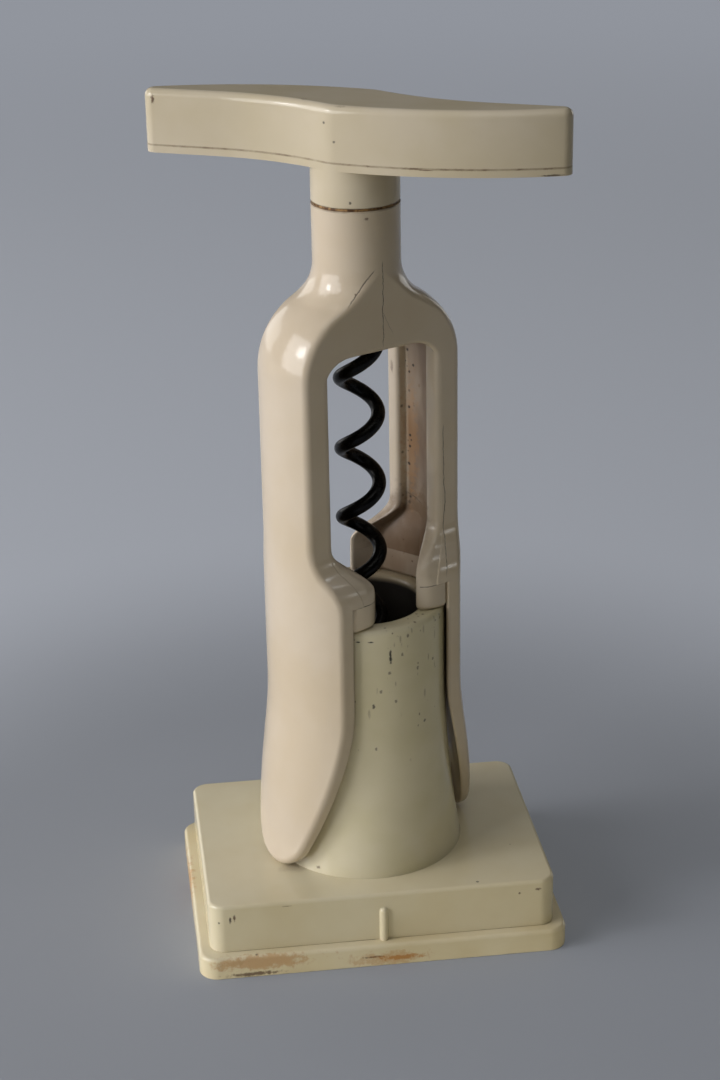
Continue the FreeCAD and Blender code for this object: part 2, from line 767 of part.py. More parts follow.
def make_worm():
    """One wire: sharpened point, right-handed coil, bend and upright shank."""
    low = size("coil_low")
    high = size("coil_high")
    steps = math.ceil((high - low) / size("coil_pitch") * STEPS_IN_TURN)
    heights = [low + (high - low) * step / steps for step in range(steps + 1)]
    edges = []
    for here, there in zip(heights, heights[1:]):
        edges += biarc(coil_point(here), coil_heading(here), coil_point(there), coil_heading(there))
    top = coil_point(high)
    climb = coil_heading(high)
    sideways = Vector(climb.x, climb.y, 0).normalize()
    bend = size("shank_bend")
    bend_rise = bend * math.sqrt(1 - size("coil_lean") ** 2)
    bend_end = top + sideways * size("shank_shift") + Vector(0, 0, bend_rise)
    edges.append(arc_from(top, climb, bend_end))
    shank_end = Vector(bend_end.x, bend_end.y, size("shank_top"))
    edges.append(Part.LineSegment(bend_end, shank_end).toShape())
    path = Part.Wire(edges)
    wire = size("wire_radius")
    start = coil_point(low)
    heading = coil_heading(low)
    section = Part.Wire([Part.makeCircle(wire, start, heading)])
    tube = path.makePipeShell([section], True, False)
    point = Part.makeCone(wire, size("point_end"), size("point_length"), start, -heading)
    solid = tube.fuse(point).removeSplitter()
    worm = doc.addObject("Part::Feature", "worm")
    worm.Label = "worm"
    worm.Shape = solid.Solids[0]
    worm.Placement = Placement()
    print_self_gap(edges, wire)
    return worm


def print_self_gap(edges, wire):
    """Print the least gap between parts of the wire that lie half a turn or more apart."""
    spacing = size("coil_pitch") / POINTS_IN_TURN
    places = []
    for edge in edges:
        places += edge.discretize(Distance=spacing)[:-1]
    apart = size("coil_pitch") / 2
    least = min(
        (a - b).Length
        for number, a in enumerate(places)
        for b in places[number + 1:]
        if b.z - a.z > apart
    )
    print(f"worm: {len(edges)} edges in its path, least gap to itself {least - 2 * wire:.2f} mm")


def check_and_write(pieces):
    """Stop at any failed object or bad shape, then write one file for each piece."""
    doc.recompute()
    for thing in doc.Objects:
        bad = {"Invalid", "Error"} & set(thing.State)
        if bad:
            raise RuntimeError(f"{thing.Name} is {', '.join(bad)}")
    for piece in pieces:
        shape = piece.Shape
        if shape.isNull() or not shape.isValid() or len(shape.Solids) != 1:
            raise RuntimeError(f"{piece.Label} is not one valid solid")
    os.makedirs("parts", exist_ok=True)
    for piece in pieces:
        piece.Shape.exportStep(f"parts/{piece.Label}.step")
        box = piece.Shape.optimalBoundingBox()
        print(f"{piece.Label}: {piece.Shape.Volume:.1f} mm3, {box.XLength:.2f} x {box.YLength:.2f} x"
              f" {box.ZLength:.2f} mm, z {box.ZMin:.2f} to {box.ZMax:.2f}")


def main():
    fill_sheet()
    pieces = [
        make_base_tray(),
        make_base_shell(),
        make_stand_post(),
        make_yoke_frame(),
        make_lip_stop("lip_stop_left", -1),
        make_lip_stop("lip_stop_right", 1),
        make_thrust_washer(),
        make_handle_shell(),
        make_handle_cover("handle_cover_left", -1),
        make_handle_cover("handle_cover_right", 1),
        make_worm(),
    ]
    check_and_write(pieces)


main()
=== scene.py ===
"""Looks of the self-pulling corkscrew on its stand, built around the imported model.

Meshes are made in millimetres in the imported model's frame and scaled once, when a piece is finished.
Z is the axis of the screw, X runs through the yoke's legs, and the origin is on the table.
"""
import logging
import math
from abc import ABC, abstractmethod
from collections.abc import Callable, Iterable, Sequence
from dataclasses import dataclass, field
from enum import Enum
from functools import cache

import bmesh
import bpy
from bmesh.types import BMEdge, BMFace, BMVert
from mathutils import Matrix, Vector


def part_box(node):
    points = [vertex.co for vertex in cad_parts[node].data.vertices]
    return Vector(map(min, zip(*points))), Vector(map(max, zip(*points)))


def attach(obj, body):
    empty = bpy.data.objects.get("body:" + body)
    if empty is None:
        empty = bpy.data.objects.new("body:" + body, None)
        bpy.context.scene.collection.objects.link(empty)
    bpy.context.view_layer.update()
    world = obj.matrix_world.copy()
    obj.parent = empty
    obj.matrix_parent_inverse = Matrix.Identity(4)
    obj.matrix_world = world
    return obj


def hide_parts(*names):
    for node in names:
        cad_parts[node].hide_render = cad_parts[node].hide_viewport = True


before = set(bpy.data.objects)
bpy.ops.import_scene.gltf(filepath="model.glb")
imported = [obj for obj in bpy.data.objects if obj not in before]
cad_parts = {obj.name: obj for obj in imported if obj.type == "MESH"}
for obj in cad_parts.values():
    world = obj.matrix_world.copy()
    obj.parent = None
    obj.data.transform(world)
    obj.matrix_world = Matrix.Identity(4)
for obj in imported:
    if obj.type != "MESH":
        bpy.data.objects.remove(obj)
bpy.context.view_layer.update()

LOG = logging.getLogger("corkscrew")
MM = 0.001
UP = Vector((0, 0, 1))
TOUCH = 1e-3
SHARP = 40.0

Colour = tuple[float, float, float, float]
Pair = tuple[float, float]
Triple = tuple[float, float, float]
Test = Callable[[Vector], bool]
Feed = bpy.types.NodeSocket | float | Sequence[float]


class Body(Enum):
    """The bodies that pieces ride on."""

    STAND = "stand"
    YOKE = "yoke"
    CARRIER = "carrier"
    SCREW = "screw"


class Slot(Enum):
    """The record's material slots."""

    STAND = "stand_plastic"
    YOKE = "yoke_plastic"
    STOP = "stop_plastic"
    WASHER = "washer_plastic"
    HANDLE = "handle_plastic"
    SCREW = "screw_coating"


class Side(Enum):
    """One of a left and right pair, as the sign of its X."""

    LEFT = -1
    RIGHT = 1


def srgb(red: int, green: int, blue: int) -> Colour:
    """A colour as the shader wants it, from the 0 to 255 values that a screen shows.

    Args:
        red: Red on screen.
        green: Green on screen.
        blue: Blue on screen.

    Returns:
        The linear colour with full alpha.
    """
    steps = [value / 255 for value in (red, green, blue)]
    linear = [((step + 0.055) / 1.055) ** 2.4 if step > 0.04045 else step / 12.92 for step in steps]
    return (*linear, 1.0)


def arc(centre: Sequence[float], radius: float, start: float, end: float, steps: int) -> list[Pair]:
    """Points along an arc, both ends included.

    Args:
        centre: The arc's centre.
        radius: Its radius.
        start: The angle of the first point, in degrees.
        end: The angle of the last point, in degrees.
        steps: How many chords it is cut into.

    Returns:
        The points as pairs.
    """
    angles = [math.radians(start + (end - start) * step / steps) for step in range(steps + 1)]
    return [(centre[0] + radius * math.cos(a), centre[1] + radius * math.sin(a)) for a in angles]


def bearing(centre: Vector, point: Vector) -> float:
    """The angle in degrees of the line from a centre to a point, seen from above."""
    return math.degrees(math.atan2(point.y - centre.y, point.x - centre.x))


# Meshes


class Moulding:
    """A mesh in the making, in millimetres, with the operators that its makers share."""

    def __init__(self) -> None:
        """Start with an empty mesh."""
        self.bm = bmesh.new()

    def face(self, points: Iterable[Vector]) -> BMFace:
        """Add one flat face through points."""
        return self.bm.faces.new([self.bm.verts.new(point) for point in points])

    def chain(self, points: Iterable[Vector], closed: bool = False) -> list[BMEdge]:
        """Add a line of edges through points.

        Args:
            points: The points in order.
            closed: Whether the last point joins the first.

        Returns:
            The new edges.
        """
        verts = [self.bm.verts.new(point) for point in points]
        pairs = list(zip(verts, verts[1:]))
        if closed:
            pairs.append((verts[-1], verts[0]))
        return [self.bm.edges.new(pair) for pair in pairs]

    def rounded_plate(self, half_x: float, half_y: float, corner: float, height: float, steps: int) -> BMFace:
        """Add a flat rectangle with round corners about the Z axis.

        Args:
            half_x: Half its length along X.
            half_y: Half its length along Y.
            corner: The radius of its corners.
            height: Its height.
            steps: The chords in each corner.

        Returns:
            The rectangle's face.
        """
        old = set(self.bm.faces)
        place = Matrix.Translation((0, 0, height)) @ Matrix.Diagonal((half_x, half_y, 1, 1))
        grid = bmesh.ops.create_grid(self.bm, x_segments=1, y_segments=1, size=1.0, matrix=place)
        bmesh.ops.bevel(
            self.bm, geom=grid["verts"], offset=corner, offset_type="OFFSET", segments=steps,
            profile=0.5, affect="VERTICES", material=-1,
        )
        return next(face for face in self.bm.faces if face not in old)

    def extrude(self, faces: Sequence[BMFace], shift: Vector) -> list[BMFace]:
        """Extrude a patch of faces and move its new end.

        Args:
            faces: The patch.
            shift: How far the new end moves.

        Returns:
            The faces of the new end.
        """
        grown = bmesh.ops.extrude_face_region(self.bm, geom=list(faces))["geom"]
        bmesh.ops.translate(self.bm, vec=shift, verts=[item for item in grown if isinstance(item, BMVert)])
        return [item for item in grown if isinstance(item, BMFace)]

    def extrude_edges(self, edges: Sequence[BMEdge], shift: Vector) -> list[BMEdge]:
        """Extrude a line of edges into a band and move its far side.

        Args:
            edges: The line.
            shift: How far the far side moves.

        Returns:
            The far side's edges.
        """
        grown = bmesh.ops.extrude_edge_only(self.bm, edges=list(edges))["geom"]
        bmesh.ops.translate(self.bm, vec=shift, verts=[item for item in grown if isinstance(item, BMVert)])
        return [item for item in grown if isinstance(item, BMEdge)]

    def spin(self, edges: Sequence[BMEdge], angle: float, steps: int, centre: Vector = Vector(),
             axis: Vector = UP, rise: float = 0.0) -> list[BMEdge]:
        """Sweep a line of edges round an axis.

        Args:
            edges: The line.
            angle: How far it turns, in radians. A full turn is closed.
            steps: The number of steps.
            centre: A point on the axis.
            axis: The axis's direction.
            rise: How far the line climbs along Z over the whole turn.

        Returns:
            The edges at the end of the sweep.
        """
        verts = list({vert for edge in edges for vert in edge.verts})
        full = math.isclose(abs(angle), math.tau) and not rise
        swept = bmesh.ops.spin(
            self.bm, geom=[*verts, *edges], cent=centre, axis=axis, dvec=UP * rise / steps,
            angle=angle, steps=steps, use_merge=full, use_duplicate=False,
        )
        return [item for item in swept["geom_last"] if isinstance(item, BMEdge)]

    def lathe(self, profile: Sequence[Pair], steps: int) -> None:
        """Turn a line of radius and height pairs a full turn about the Z axis.

        Args:
            profile: The line. It is closed when it starts and ends off the axis.
            steps: The number of steps.
        """
        points = [Vector((radius, 0, height)) for radius, height in profile]
        on_axis = profile[0][0] == 0 and profile[-1][0] == 0
        self.spin(self.chain(points, closed=not on_axis), math.tau, steps)
        bmesh.ops.remove_doubles(self.bm, verts=self.bm.verts, dist=TOUCH)

    def loft(self, sections: Sequence[Sequence[Vector]]) -> None:
        """Join closed lines with equal numbers of points into a solid with flat ends.

        Args:
            sections: The lines, from one end to the other.
        """
        old = set(self.bm.faces)
        rings = [self.chain(section, closed=True) for section in sections]
        for below, above in zip(rings, rings[1:]):
            for low, high in zip(below, above):
                self.bm.faces.new((*low.verts, *reversed(high.verts)))
        for end in (rings[0], rings[-1]):
            self.fill_between(end)
        bmesh.ops.recalc_face_normals(self.bm, faces=[face for face in self.bm.faces if face not in old])

    def soften(self, edges: Sequence[BMEdge], width: float, steps: int) -> None:
        """Round a set of edges.

        Args:
            edges: The edges.
            width: The radius at a square edge.
            steps: The chords across the rounding.
        """
        bmesh.ops.bevel(
            self.bm, geom=list(edges), offset=width, offset_type="OFFSET", segments=steps,
            profile=0.5, affect="EDGES", material=-1, clamp_overlap=True, loop_slide=True,
        )

    def edges_where(self, test: Test) -> list[BMEdge]:
        """The edges whose two ends pass a test."""
        return [edge for edge in self.bm.edges if all(test(vert.co) for vert in edge.verts)]

    def creases(self, least: float, test: Test = lambda place: True) -> list[BMEdge]:
        """The edges between faces that meet at an angle.

        Args:
            least: The least angle, in degrees.
            test: A test that both ends pass.

        Returns:
            The edges.
        """
        limit = math.radians(least)
        return [
            edge for edge in self.edges_where(test)
            if len(edge.link_faces) == 2 and edge.calc_face_angle() > limit
        ]

    def level_faces(self, height: float) -> list[BMFace]:
        """The faces that lie whole at a height."""
        return [face for face in self.bm.faces if all(abs(vert.co.z - height) < TOUCH for vert in face.verts)]

    def widest_face(self, height: float) -> BMFace:
        """The widest of the faces that lie at a height."""
        return max(self.level_faces(height), key=BMFace.calc_area)

    def drop_faces(self, faces: Sequence[BMFace]) -> None:
        """Delete faces and leave their edges."""
        bmesh.ops.delete(self.bm, geom=list(faces), context="FACES_ONLY")

    def fill_between(self, edges: Sequence[BMEdge]) -> None:
        """Fill the flat ring between an outer and an inner loop of edges."""
        bmesh.ops.triangle_fill(self.bm, use_beauty=True, use_dissolve=False, edges=list(edges))

    def cut(self, point: Vector, away: Vector) -> None:
        """Cut the mesh by a plane, drop what lies beyond it and close the cut.

        Args:
            point: A point on the plane.
            away: The direction of what is dropped.
        """
        geometry = [*self.bm.verts, *self.bm.edges, *self.bm.faces]
        cut = bmesh.ops.bisect_plane(
            self.bm, geom=geometry, dist=TOUCH, plane_co=point, plane_no=away, clear_outer=True,
        )
        edges = [item for item in cut["geom_cut"] if isinstance(item, BMEdge)]
        bmesh.ops.edgenet_fill(self.bm, edges=edges, mat_nr=-1)

    def turned(self, degrees: float) -> None:
        """Turn the whole mesh about the Z axis, anticlockwise from above."""
        matrix = Matrix.Rotation(math.radians(degrees), 3, "Z")
        bmesh.ops.rotate(self.bm, cent=Vector(), matrix=matrix, verts=self.bm.verts)

    def finish(self, name: str, sharp_from: float = SHARP, own_normals: bool = True) -> bpy.types.Object:
        """Make the mesh an object in metres, smooth but for its sharp edges.

        Args:
            name: The object's name.
            sharp_from: The angle in degrees from which an edge stays sharp.
            own_normals: Whether the faces still have to be turned outwards.

        Returns:
            The object.
        """
        if own_normals:
            bmesh.ops.recalc_face_normals(self.bm, faces=self.bm.faces)
        bmesh.ops.scale(self.bm, vec=(MM, MM, MM), verts=self.bm.verts)
        for face in self.bm.faces:
            face.smooth = True
        for edge in self.creases(sharp_from):
            edge.smooth = False
        mesh = bpy.data.meshes.new(name)
        self.bm.to_mesh(mesh)
        self.bm.free()
        shown = bpy.data.objects.new(name, mesh)
        bpy.context.scene.collection.objects.link(shown)
        even = shown.modifiers.new("Even normals", "WEIGHTED_NORMAL")
        even.keep_sharp = True
        return shown


@dataclass(frozen=True)
class Piece:
    """What the frame has to know of a finished piece."""

    name: str
    body: Body
    slot: Slot
    stands_for: tuple[str, ...]

    def place(self, shown: bpy.types.Object, finish: bpy.types.Material) -> None:
        """Put a made object into the frame in its finish.

        Args:
            shown: The object.
            finish: Its material.
        """
        shown.data.materials.clear()
        shown.data.materials.append(finish)
        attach(shown, self.body.value)
        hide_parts(*self.stands_for)
        LOG.info("%s: %d faces in %s", self.name, len(shown.data.polygons), finish.name)


# Node graphs

# The inputs of a Mix node for colours, the share first, and its output: their names aren't unique.
MIX_INPUTS = (0, 6, 7)
MIX_OUTPUT = 2


class Socket(Enum):
    """The kinds of socket that effects have."""

    NUMBER = "NodeSocketFloat"
    COLOUR = "NodeSocketColor"
    POINT = "NodeSocketVector"


class Graph:
    """A node tree with short calls for the nodes that the finishes are made of."""

    def __init__(self, tree: bpy.types.NodeTree) -> None:
        """Work on an existing tree."""
        self.tree = tree

    def add(self, kind: str, **settings: object) -> bpy.types.Node:
        """Add a node and set its properties."""
        node = self.tree.nodes.new(kind)
        for name, value in settings.items():
            setattr(node, name, value)
        return node

    def feed(self, socket: bpy.types.NodeSocket, value: Feed) -> None:
        """Link a socket to another one, or give it a plain value."""
        if isinstance(value, bpy.types.NodeSocket):
            self.tree.links.new(value, socket)
        else:
            socket.default_value = value

    def sum(self, operation: str, *values: Feed, clamp: bool = False) -> bpy.types.NodeSocket:
        """The result of a Math node.

        Args:
            operation: The node's operation.
            values: Its inputs.
            clamp: Whether the result is kept between 0 and 1.

        Returns:
            The result's socket.
        """
        node = self.add("ShaderNodeMath", operation=operation, use_clamp=clamp)
        for socket, value in zip(node.inputs, values):
            self.feed(socket, value)
        return node.outputs[0]

    def vector(self, operation: str, *values: Feed) -> bpy.types.NodeSocket:
        """The result of a Vector Math node: a number for a length, distance or dot product, else a vector."""
        node = self.add("ShaderNodeVectorMath", operation=operation)
        for socket, value in zip(node.inputs, values):
            self.feed(socket, value)
        return node.outputs["Value" if operation in ("LENGTH", "DISTANCE", "DOT_PRODUCT") else "Vector"]

    def axes(self, point: Feed) -> dict[str, bpy.types.NodeSocket]:
        """The parts of a place along X, Y and Z."""
        parts = self.add("ShaderNodeSeparateXYZ")
        self.feed(parts.inputs[0], point)
        return {axis: parts.outputs[axis] for axis in "XYZ"}

    def radius(self, point: Feed) -> bpy.types.NodeSocket:
        """How far a place is from the screw's axis."""
        return self.vector("LENGTH", self.vector("MULTIPLY", point, (1, 1, 0)))

    def fade(self, value: Feed, start: Feed, end: Feed) -> bpy.types.NodeSocket:
        """A smooth step from 0 at start to 1 at end."""
        node = self.add("ShaderNodeMapRange", interpolation_type="SMOOTHSTEP")
        for socket, number in zip(node.inputs, (value, start, end, 0.0, 1.0)):
            self.feed(socket, number)
        return node.outputs["Result"]

    def noise(self, point: Feed, scale: Feed, detail: float = 2.0, rough: float = 0.5) -> bpy.types.NodeSocket:
        """The value of a noise at a point.

        Args:
            point: Where it is read.
            scale: Its features to the millimetre.
            detail: Its octaves.
            rough: How strong each octave is beside the one before.

        Returns:
            The value, mostly between 0.3 and 0.7.
        """
        node = self.add("ShaderNodeTexNoise", noise_dimensions="3D", normalize=True)
        for name, value in (("Vector", point), ("Scale", scale), ("Detail", detail), ("Roughness", rough)):
            self.feed(node.inputs[name], value)
        return node.outputs[0]

    def blend(self, share: Feed, below: Feed, above: Feed) -> bpy.types.NodeSocket:
        """One colour laid over another by a share."""
        node = self.add("ShaderNodeMix", data_type="RGBA", clamp_factor=True)
        for index, value in zip(MIX_INPUTS, (share, below, above)):
            self.feed(node.inputs[index], value)
        return node.outputs[MIX_OUTPUT]

    def bumps(self, shader: bpy.types.Node, height: Feed) -> None:
        """Give a shader the relief of a height in millimetres."""
        bump = self.add("ShaderNodeBump")
        bump.inputs["Strength"].default_value = 1.0
        bump.inputs["Distance"].default_value = MM
        self.feed(bump.inputs["Height"], height)
        self.feed(shader.inputs["Normal"], bump.outputs["Normal"])

    def apply(self, group: bpy.types.NodeTree, **values: Feed) -> dict[str, bpy.types.NodeSocket]:
        """Place an effect with its inputs fed, and give its outputs by name."""
        node = self.add("ShaderNodeGroup", node_tree=group)
        for name, value in values.items():
            self.feed(node.inputs[name], value)
        return {socket.name: socket for socket in node.outputs}


Effect = tuple[bpy.types.NodeTree, Graph, bpy.types.Node, bpy.types.Node]


def effect(name: str, takes: dict[str, Socket], gives: dict[str, Socket]) -> Effect:
    """An empty shader node group with named sockets.

    Args:
        name: The group's name.
        takes: Its inputs.
        gives: Its outputs.

    Returns:
        The group, a graph over it, and its input and output nodes.
    """
    group = bpy.data.node_groups.new(name, "ShaderNodeTree")
    for in_out, sockets in (("INPUT", takes), ("OUTPUT", gives)):
        for label, kind in sockets.items():
            group.interface.new_socket(label, in_out=in_out, socket_type=kind.value)
    graph = Graph(group)
    return group, graph, graph.add("NodeGroupInput"), graph.add("NodeGroupOutput")


@cache
def yellowing(clouds: Pair = (0.36, 0.66), mottle: Pair = (0.35, 0.7), finer: float = 6.0,
              mottle_share: float = 0.15) -> bpy.types.NodeTree:
    """Ivory that has aged unevenly, in soft clouds with a finer mottle.

    Args:
        clouds: The noise values between which a cloud sets in.
        mottle: The noise values between which the mottle sets in.
        finer: How many times finer the mottle is than the clouds.
        mottle_share: The mottle's share of the ageing.

    Returns:
        The node group.
    """
    group, graph, takes, gives = effect(
        "Yellowing",
        {"Point": Socket.POINT, "Fresh": Socket.COLOUR, "Aged": Socket.COLOUR, "Cloud": Socket.NUMBER,
         "Amount": Socket.NUMBER},
        {"Colour": Socket.COLOUR},
    )
    point = takes.outputs["Point"]
    scale = graph.sum("DIVIDE", 1.0, takes.outputs["Cloud"])
    broad = graph.fade(graph.noise(point, scale, detail=3.0, rough=0.55), *clouds)
    fine = graph.fade(graph.noise(point, graph.sum("MULTIPLY", scale, finer), detail=3.0), *mottle)
    mixed = graph.sum("ADD", graph.sum("MULTIPLY", broad, 1 - mottle_share),
                      graph.sum("MULTIPLY", fine, mottle_share))
    share = graph.sum("MULTIPLY", mixed, takes.outputs["Amount"])
    graph.feed(gives.inputs["Colour"], graph.blend(share, takes.outputs["Fresh"], takes.outputs["Aged"]))
    return group


@cache
def flecks(ragged: float = 0.9, ragged_scale: float = 9.0, least_reach: float = 0.5, least_size: float = 0.35,
           core: float = 0.45) -> bpy.types.NodeTree:
    """Scattered specks of dirt: one in a share of the cells of a Voronoi pattern holds a speck.

    Args:
        ragged: How far a speck's edge swings.
        ragged_scale: The swings to the millimetre.
        least_reach: The edge's reach where it swings least.
        least_size: The size of the smallest speck beside the usual one.
        core: The part of a speck's reach that is full.

    Returns:
        The node group.
    """
    group, graph, takes, gives = effect(
        "Flecks",
        {"Point": Socket.POINT, "Spacing": Socket.NUMBER, "Share": Socket.NUMBER, "Size": Socket.NUMBER},
        {"Mask": Socket.NUMBER},
    )
    point = takes.outputs["Point"]
    scale = graph.sum("DIVIDE", 1.0, takes.outputs["Spacing"])
    cells = graph.add("ShaderNodeTexVoronoi", feature="F1", voronoi_dimensions="3D")
    graph.feed(cells.inputs["Vector"], point)
    graph.feed(cells.inputs["Scale"], scale)
    chance = graph.add("ShaderNodeSeparateColor")
    graph.feed(chance.inputs[0], cells.outputs["Color"])
    chosen = graph.sum("LESS_THAN", chance.outputs[0], takes.outputs["Share"])
    swing = graph.sum("MULTIPLY", graph.noise(point, ragged_scale), ragged)
    radius = graph.sum("MULTIPLY", graph.sum("MULTIPLY", takes.outputs["Size"], scale),
                       graph.sum("ADD", chance.outputs[1], least_size))
    reach = graph.sum("MULTIPLY", radius, graph.sum("ADD", swing, least_reach))
    inside = graph.fade(cells.outputs["Distance"], reach, graph.sum("MULTIPLY", reach, core))
    graph.feed(gives.inputs["Mask"], graph.sum("MULTIPLY", chosen, inside))
    return group


@cache
def tide_line(patch_scale: float = 0.35, patches: Pair = (0.62, 0.72), grain_scale: float = 4.0,
              least: float = 0.4, core: float = 0.25) -> bpy.types.NodeTree:
    """Dirt that has settled along a seam, broken up along its length.

    Args:
        patch_scale: The patches of dirt to the millimetre.
        patches: The noise values between which a patch sets in, the first where the line is most broken.
        grain_scale: The swings of the line's width to the millimetre.
        least: The width where it swings least, beside the usual one.
        core: The part of the width that is full.

    Returns:
        The node group.
    """
    group, graph, takes, gives = effect(
        "Tide line",
        {"Point": Socket.POINT, "Off": Socket.NUMBER, "Width": Socket.NUMBER, "Breaks": Socket.NUMBER},
        {"Mask": Socket.NUMBER},
    )
    point = takes.outputs["Point"]
    start = graph.sum("MULTIPLY", takes.outputs["Breaks"], patches[0])
    patchy = graph.fade(graph.noise(point, patch_scale, detail=3.0, rough=0.6), start, patches[1])
    grain = graph.noise(point, grain_scale, detail=3.0, rough=0.6)
    width = graph.sum("MULTIPLY", takes.outputs["Width"], graph.sum("ADD", grain, least))
    near = graph.fade(graph.sum("ABSOLUTE", takes.outputs["Off"]), width, graph.sum("MULTIPLY", width, core))
    graph.feed(gives.inputs["Mask"], graph.sum("MULTIPLY", near, patchy))
    return group


@cache
def hairline(swing_scale: float = 0.45, width_scale: float = 2.5, least: float = 0.4, core: float = 0.3,
             ends: Triple = (-0.6, 0.6, 2.0), wall: float = 1.3) -> bpy.types.NodeTree:
    """A hairline crack between two points on a wall, wandering a little from its line.

    Args:
        swing_scale: The line's swings to the millimetre.
        width_scale: The swings of its width to the millimetre.
        least: The width where it swings least, beside the usual one.
        core: The part of the width that is full.
        ends: How far from an end the line begins, and is full at its start and at its end.
        wall: How far into the wall the line is seen.

    Returns:
        The node group.
    """
    group, graph, takes, gives = effect(
        "Hairline",
        {"Point": Socket.POINT, "Along": Socket.NUMBER, "Across": Socket.NUMBER, "Depth": Socket.NUMBER,
         "Length": Socket.NUMBER, "Width": Socket.NUMBER, "Wander": Socket.NUMBER},
        {"Mask": Socket.NUMBER},
    )
    point, along = takes.outputs["Point"], takes.outputs["Along"]
    outside, full_at_start, full_at_end = ends
    swing = graph.sum("SUBTRACT", graph.noise(point, swing_scale, detail=3.0, rough=0.65), 0.5)
    across = graph.sum("ADD", takes.outputs["Across"], graph.sum("MULTIPLY", swing, takes.outputs["Wander"]))
    open_to = graph.sum("MULTIPLY", takes.outputs["Width"],
                        graph.sum("ADD", graph.noise(point, width_scale), least))
    line = graph.fade(graph.sum("ABSOLUTE", across), open_to, graph.sum("MULTIPLY", open_to, core))
    started = graph.fade(along, outside, full_at_start)
    left = graph.sum("SUBTRACT", takes.outputs["Length"], along)
    between = graph.sum("MULTIPLY", started, graph.fade(left, outside, full_at_end))
    on_wall = graph.sum("LESS_THAN", graph.sum("ABSOLUTE", takes.outputs["Depth"]), wall)
    graph.feed(gives.inputs["Mask"], graph.sum("MULTIPLY", graph.sum("MULTIPLY", line, between), on_wall))
    return group


@cache
def blot(core: float = 0.35) -> bpy.types.NodeTree:
    """A soft stain about a centre, with a ragged edge and a grain inside it.

    Args:
        core: The part of the stain's reach that is full.

    Returns:
        The node group.
    """
    group, graph, takes, gives = effect(
        "Blot",
        {"Point": Socket.POINT, "Centre": Socket.POINT, "Reach": Socket.POINT, "Ragged": Socket.NUMBER,
         "Grain": Socket.NUMBER},
        {"Mask": Socket.NUMBER},
    )
    point = takes.outputs["Point"]
    away = graph.vector("SUBTRACT", point, takes.outputs["Centre"])
    distance = graph.vector("LENGTH", graph.vector("DIVIDE", away, takes.outputs["Reach"]))
    swing = graph.sum("SUBTRACT", graph.noise(point, takes.outputs["Grain"], detail=4.0, rough=0.65), 0.5)
    shaken = graph.sum("ADD", distance, graph.sum("MULTIPLY", swing, takes.outputs["Ragged"]))
    graph.feed(gives.inputs["Mask"], graph.fade(shaken, 1.0, core))
    return group


@cache
def moulded_skin(wave_scale: float = 0.09, grain_scale: float = 3.2, drawn_out: Triple = (1.3, 1.3, 0.12),
                 wipe_scale: float = 5.0, wipes: Pair = (0.62, 0.7), patch_scale: float = 0.12,
                 patches: Pair = (0.45, 0.7), wear_scale: float = 0.25,
                 scratch_wear: float = 20.0) -> bpy.types.NodeTree:
    """The surface of a moulding: sink waves, a fine grain and wiping scratches.

    Args:
        wave_scale: The sink waves to the millimetre.
        grain_scale: The grain's features to the millimetre.
        drawn_out: How the scratches' pattern is squeezed along each axis, so that they run upright.
        wipe_scale: The scratches to the millimetre.
        wipes: The noise values between which a scratch sets in.
        patch_scale: The patches with scratches to the millimetre.
        patches: The noise values between which such a patch sets in.
        wear_scale: The patches of wear to the millimetre.
        scratch_wear: How much a scratch adds to the wear.

    Returns:
        The node group.
    """
    group, graph, takes, gives = effect(
        "Moulded skin",
        {"Point": Socket.POINT, "Waves": Socket.NUMBER, "Grain": Socket.NUMBER, "Scratches": Socket.NUMBER},
        {"Height": Socket.NUMBER, "Wear": Socket.NUMBER},
    )
    point = takes.outputs["Point"]
    waves = graph.sum("MULTIPLY", graph.noise(point, wave_scale, detail=1.0), takes.outputs["Waves"])
    grain = graph.noise(point, grain_scale, detail=3.0, rough=0.6)
    grain = graph.sum("MULTIPLY", grain, takes.outputs["Grain"])
    drawn = graph.vector("MULTIPLY", point, drawn_out)
    fine = graph.fade(graph.noise(drawn, wipe_scale, rough=0.7), *wipes)
    patch = graph.fade(graph.noise(point, patch_scale), *patches)
    scratches = graph.sum("MULTIPLY", graph.sum("MULTIPLY", fine, patch), takes.outputs["Scratches"])
    graph.feed(gives.inputs["Height"], graph.sum("SUBTRACT", graph.sum("ADD", waves, grain), scratches))
    wear = graph.noise(point, wear_scale, detail=4.0, rough=0.6)
    graph.feed(gives.inputs["Wear"], graph.sum("ADD", wear, graph.sum("MULTIPLY", scratches, scratch_wear)))
    return group


# Marks of use and painted shade


@dataclass(frozen=True)
class Mark(ABC):
    """Something laid on a surface's colour: mostly what age has left, in some places painted shade.

    It has a colour, a cover from 0 to 1, a depth in millimetres, and the roughness that it adds.
    """

    colour: Colour
    cover: float
    depth: float = 0.0
    dull: float = 0.25

    @abstractmethod
    def mask(self, graph: Graph, point: bpy.types.NodeSocket) -> bpy.types.NodeSocket:
        """Where the mark lies.

        Args:
            graph: The material's graph.
            point: The place on the surface, in millimetres.

        Returns:
            A socket that is 1 on the mark and 0 away from it.
        """


@dataclass(frozen=True)
class StainAndShade(Mark):
    """A soft patch within an ellipsoid. Most are stains; a few are painted shade, as their comments say."""

    centre: Triple = (0, 0, 0)
    reach: Triple = (1, 1, 1)
    ragged: float = 1.2
    grain: float = 0.5

    def mask(self, graph: Graph, point: bpy.types.NodeSocket) -> bpy.types.NodeSocket:
        """Fade from the patch's middle to its ragged edge."""
        return graph.apply(blot(), Point=point, Centre=self.centre, Reach=self.reach, Ragged=self.ragged,
                           Grain=self.grain)["Mask"]


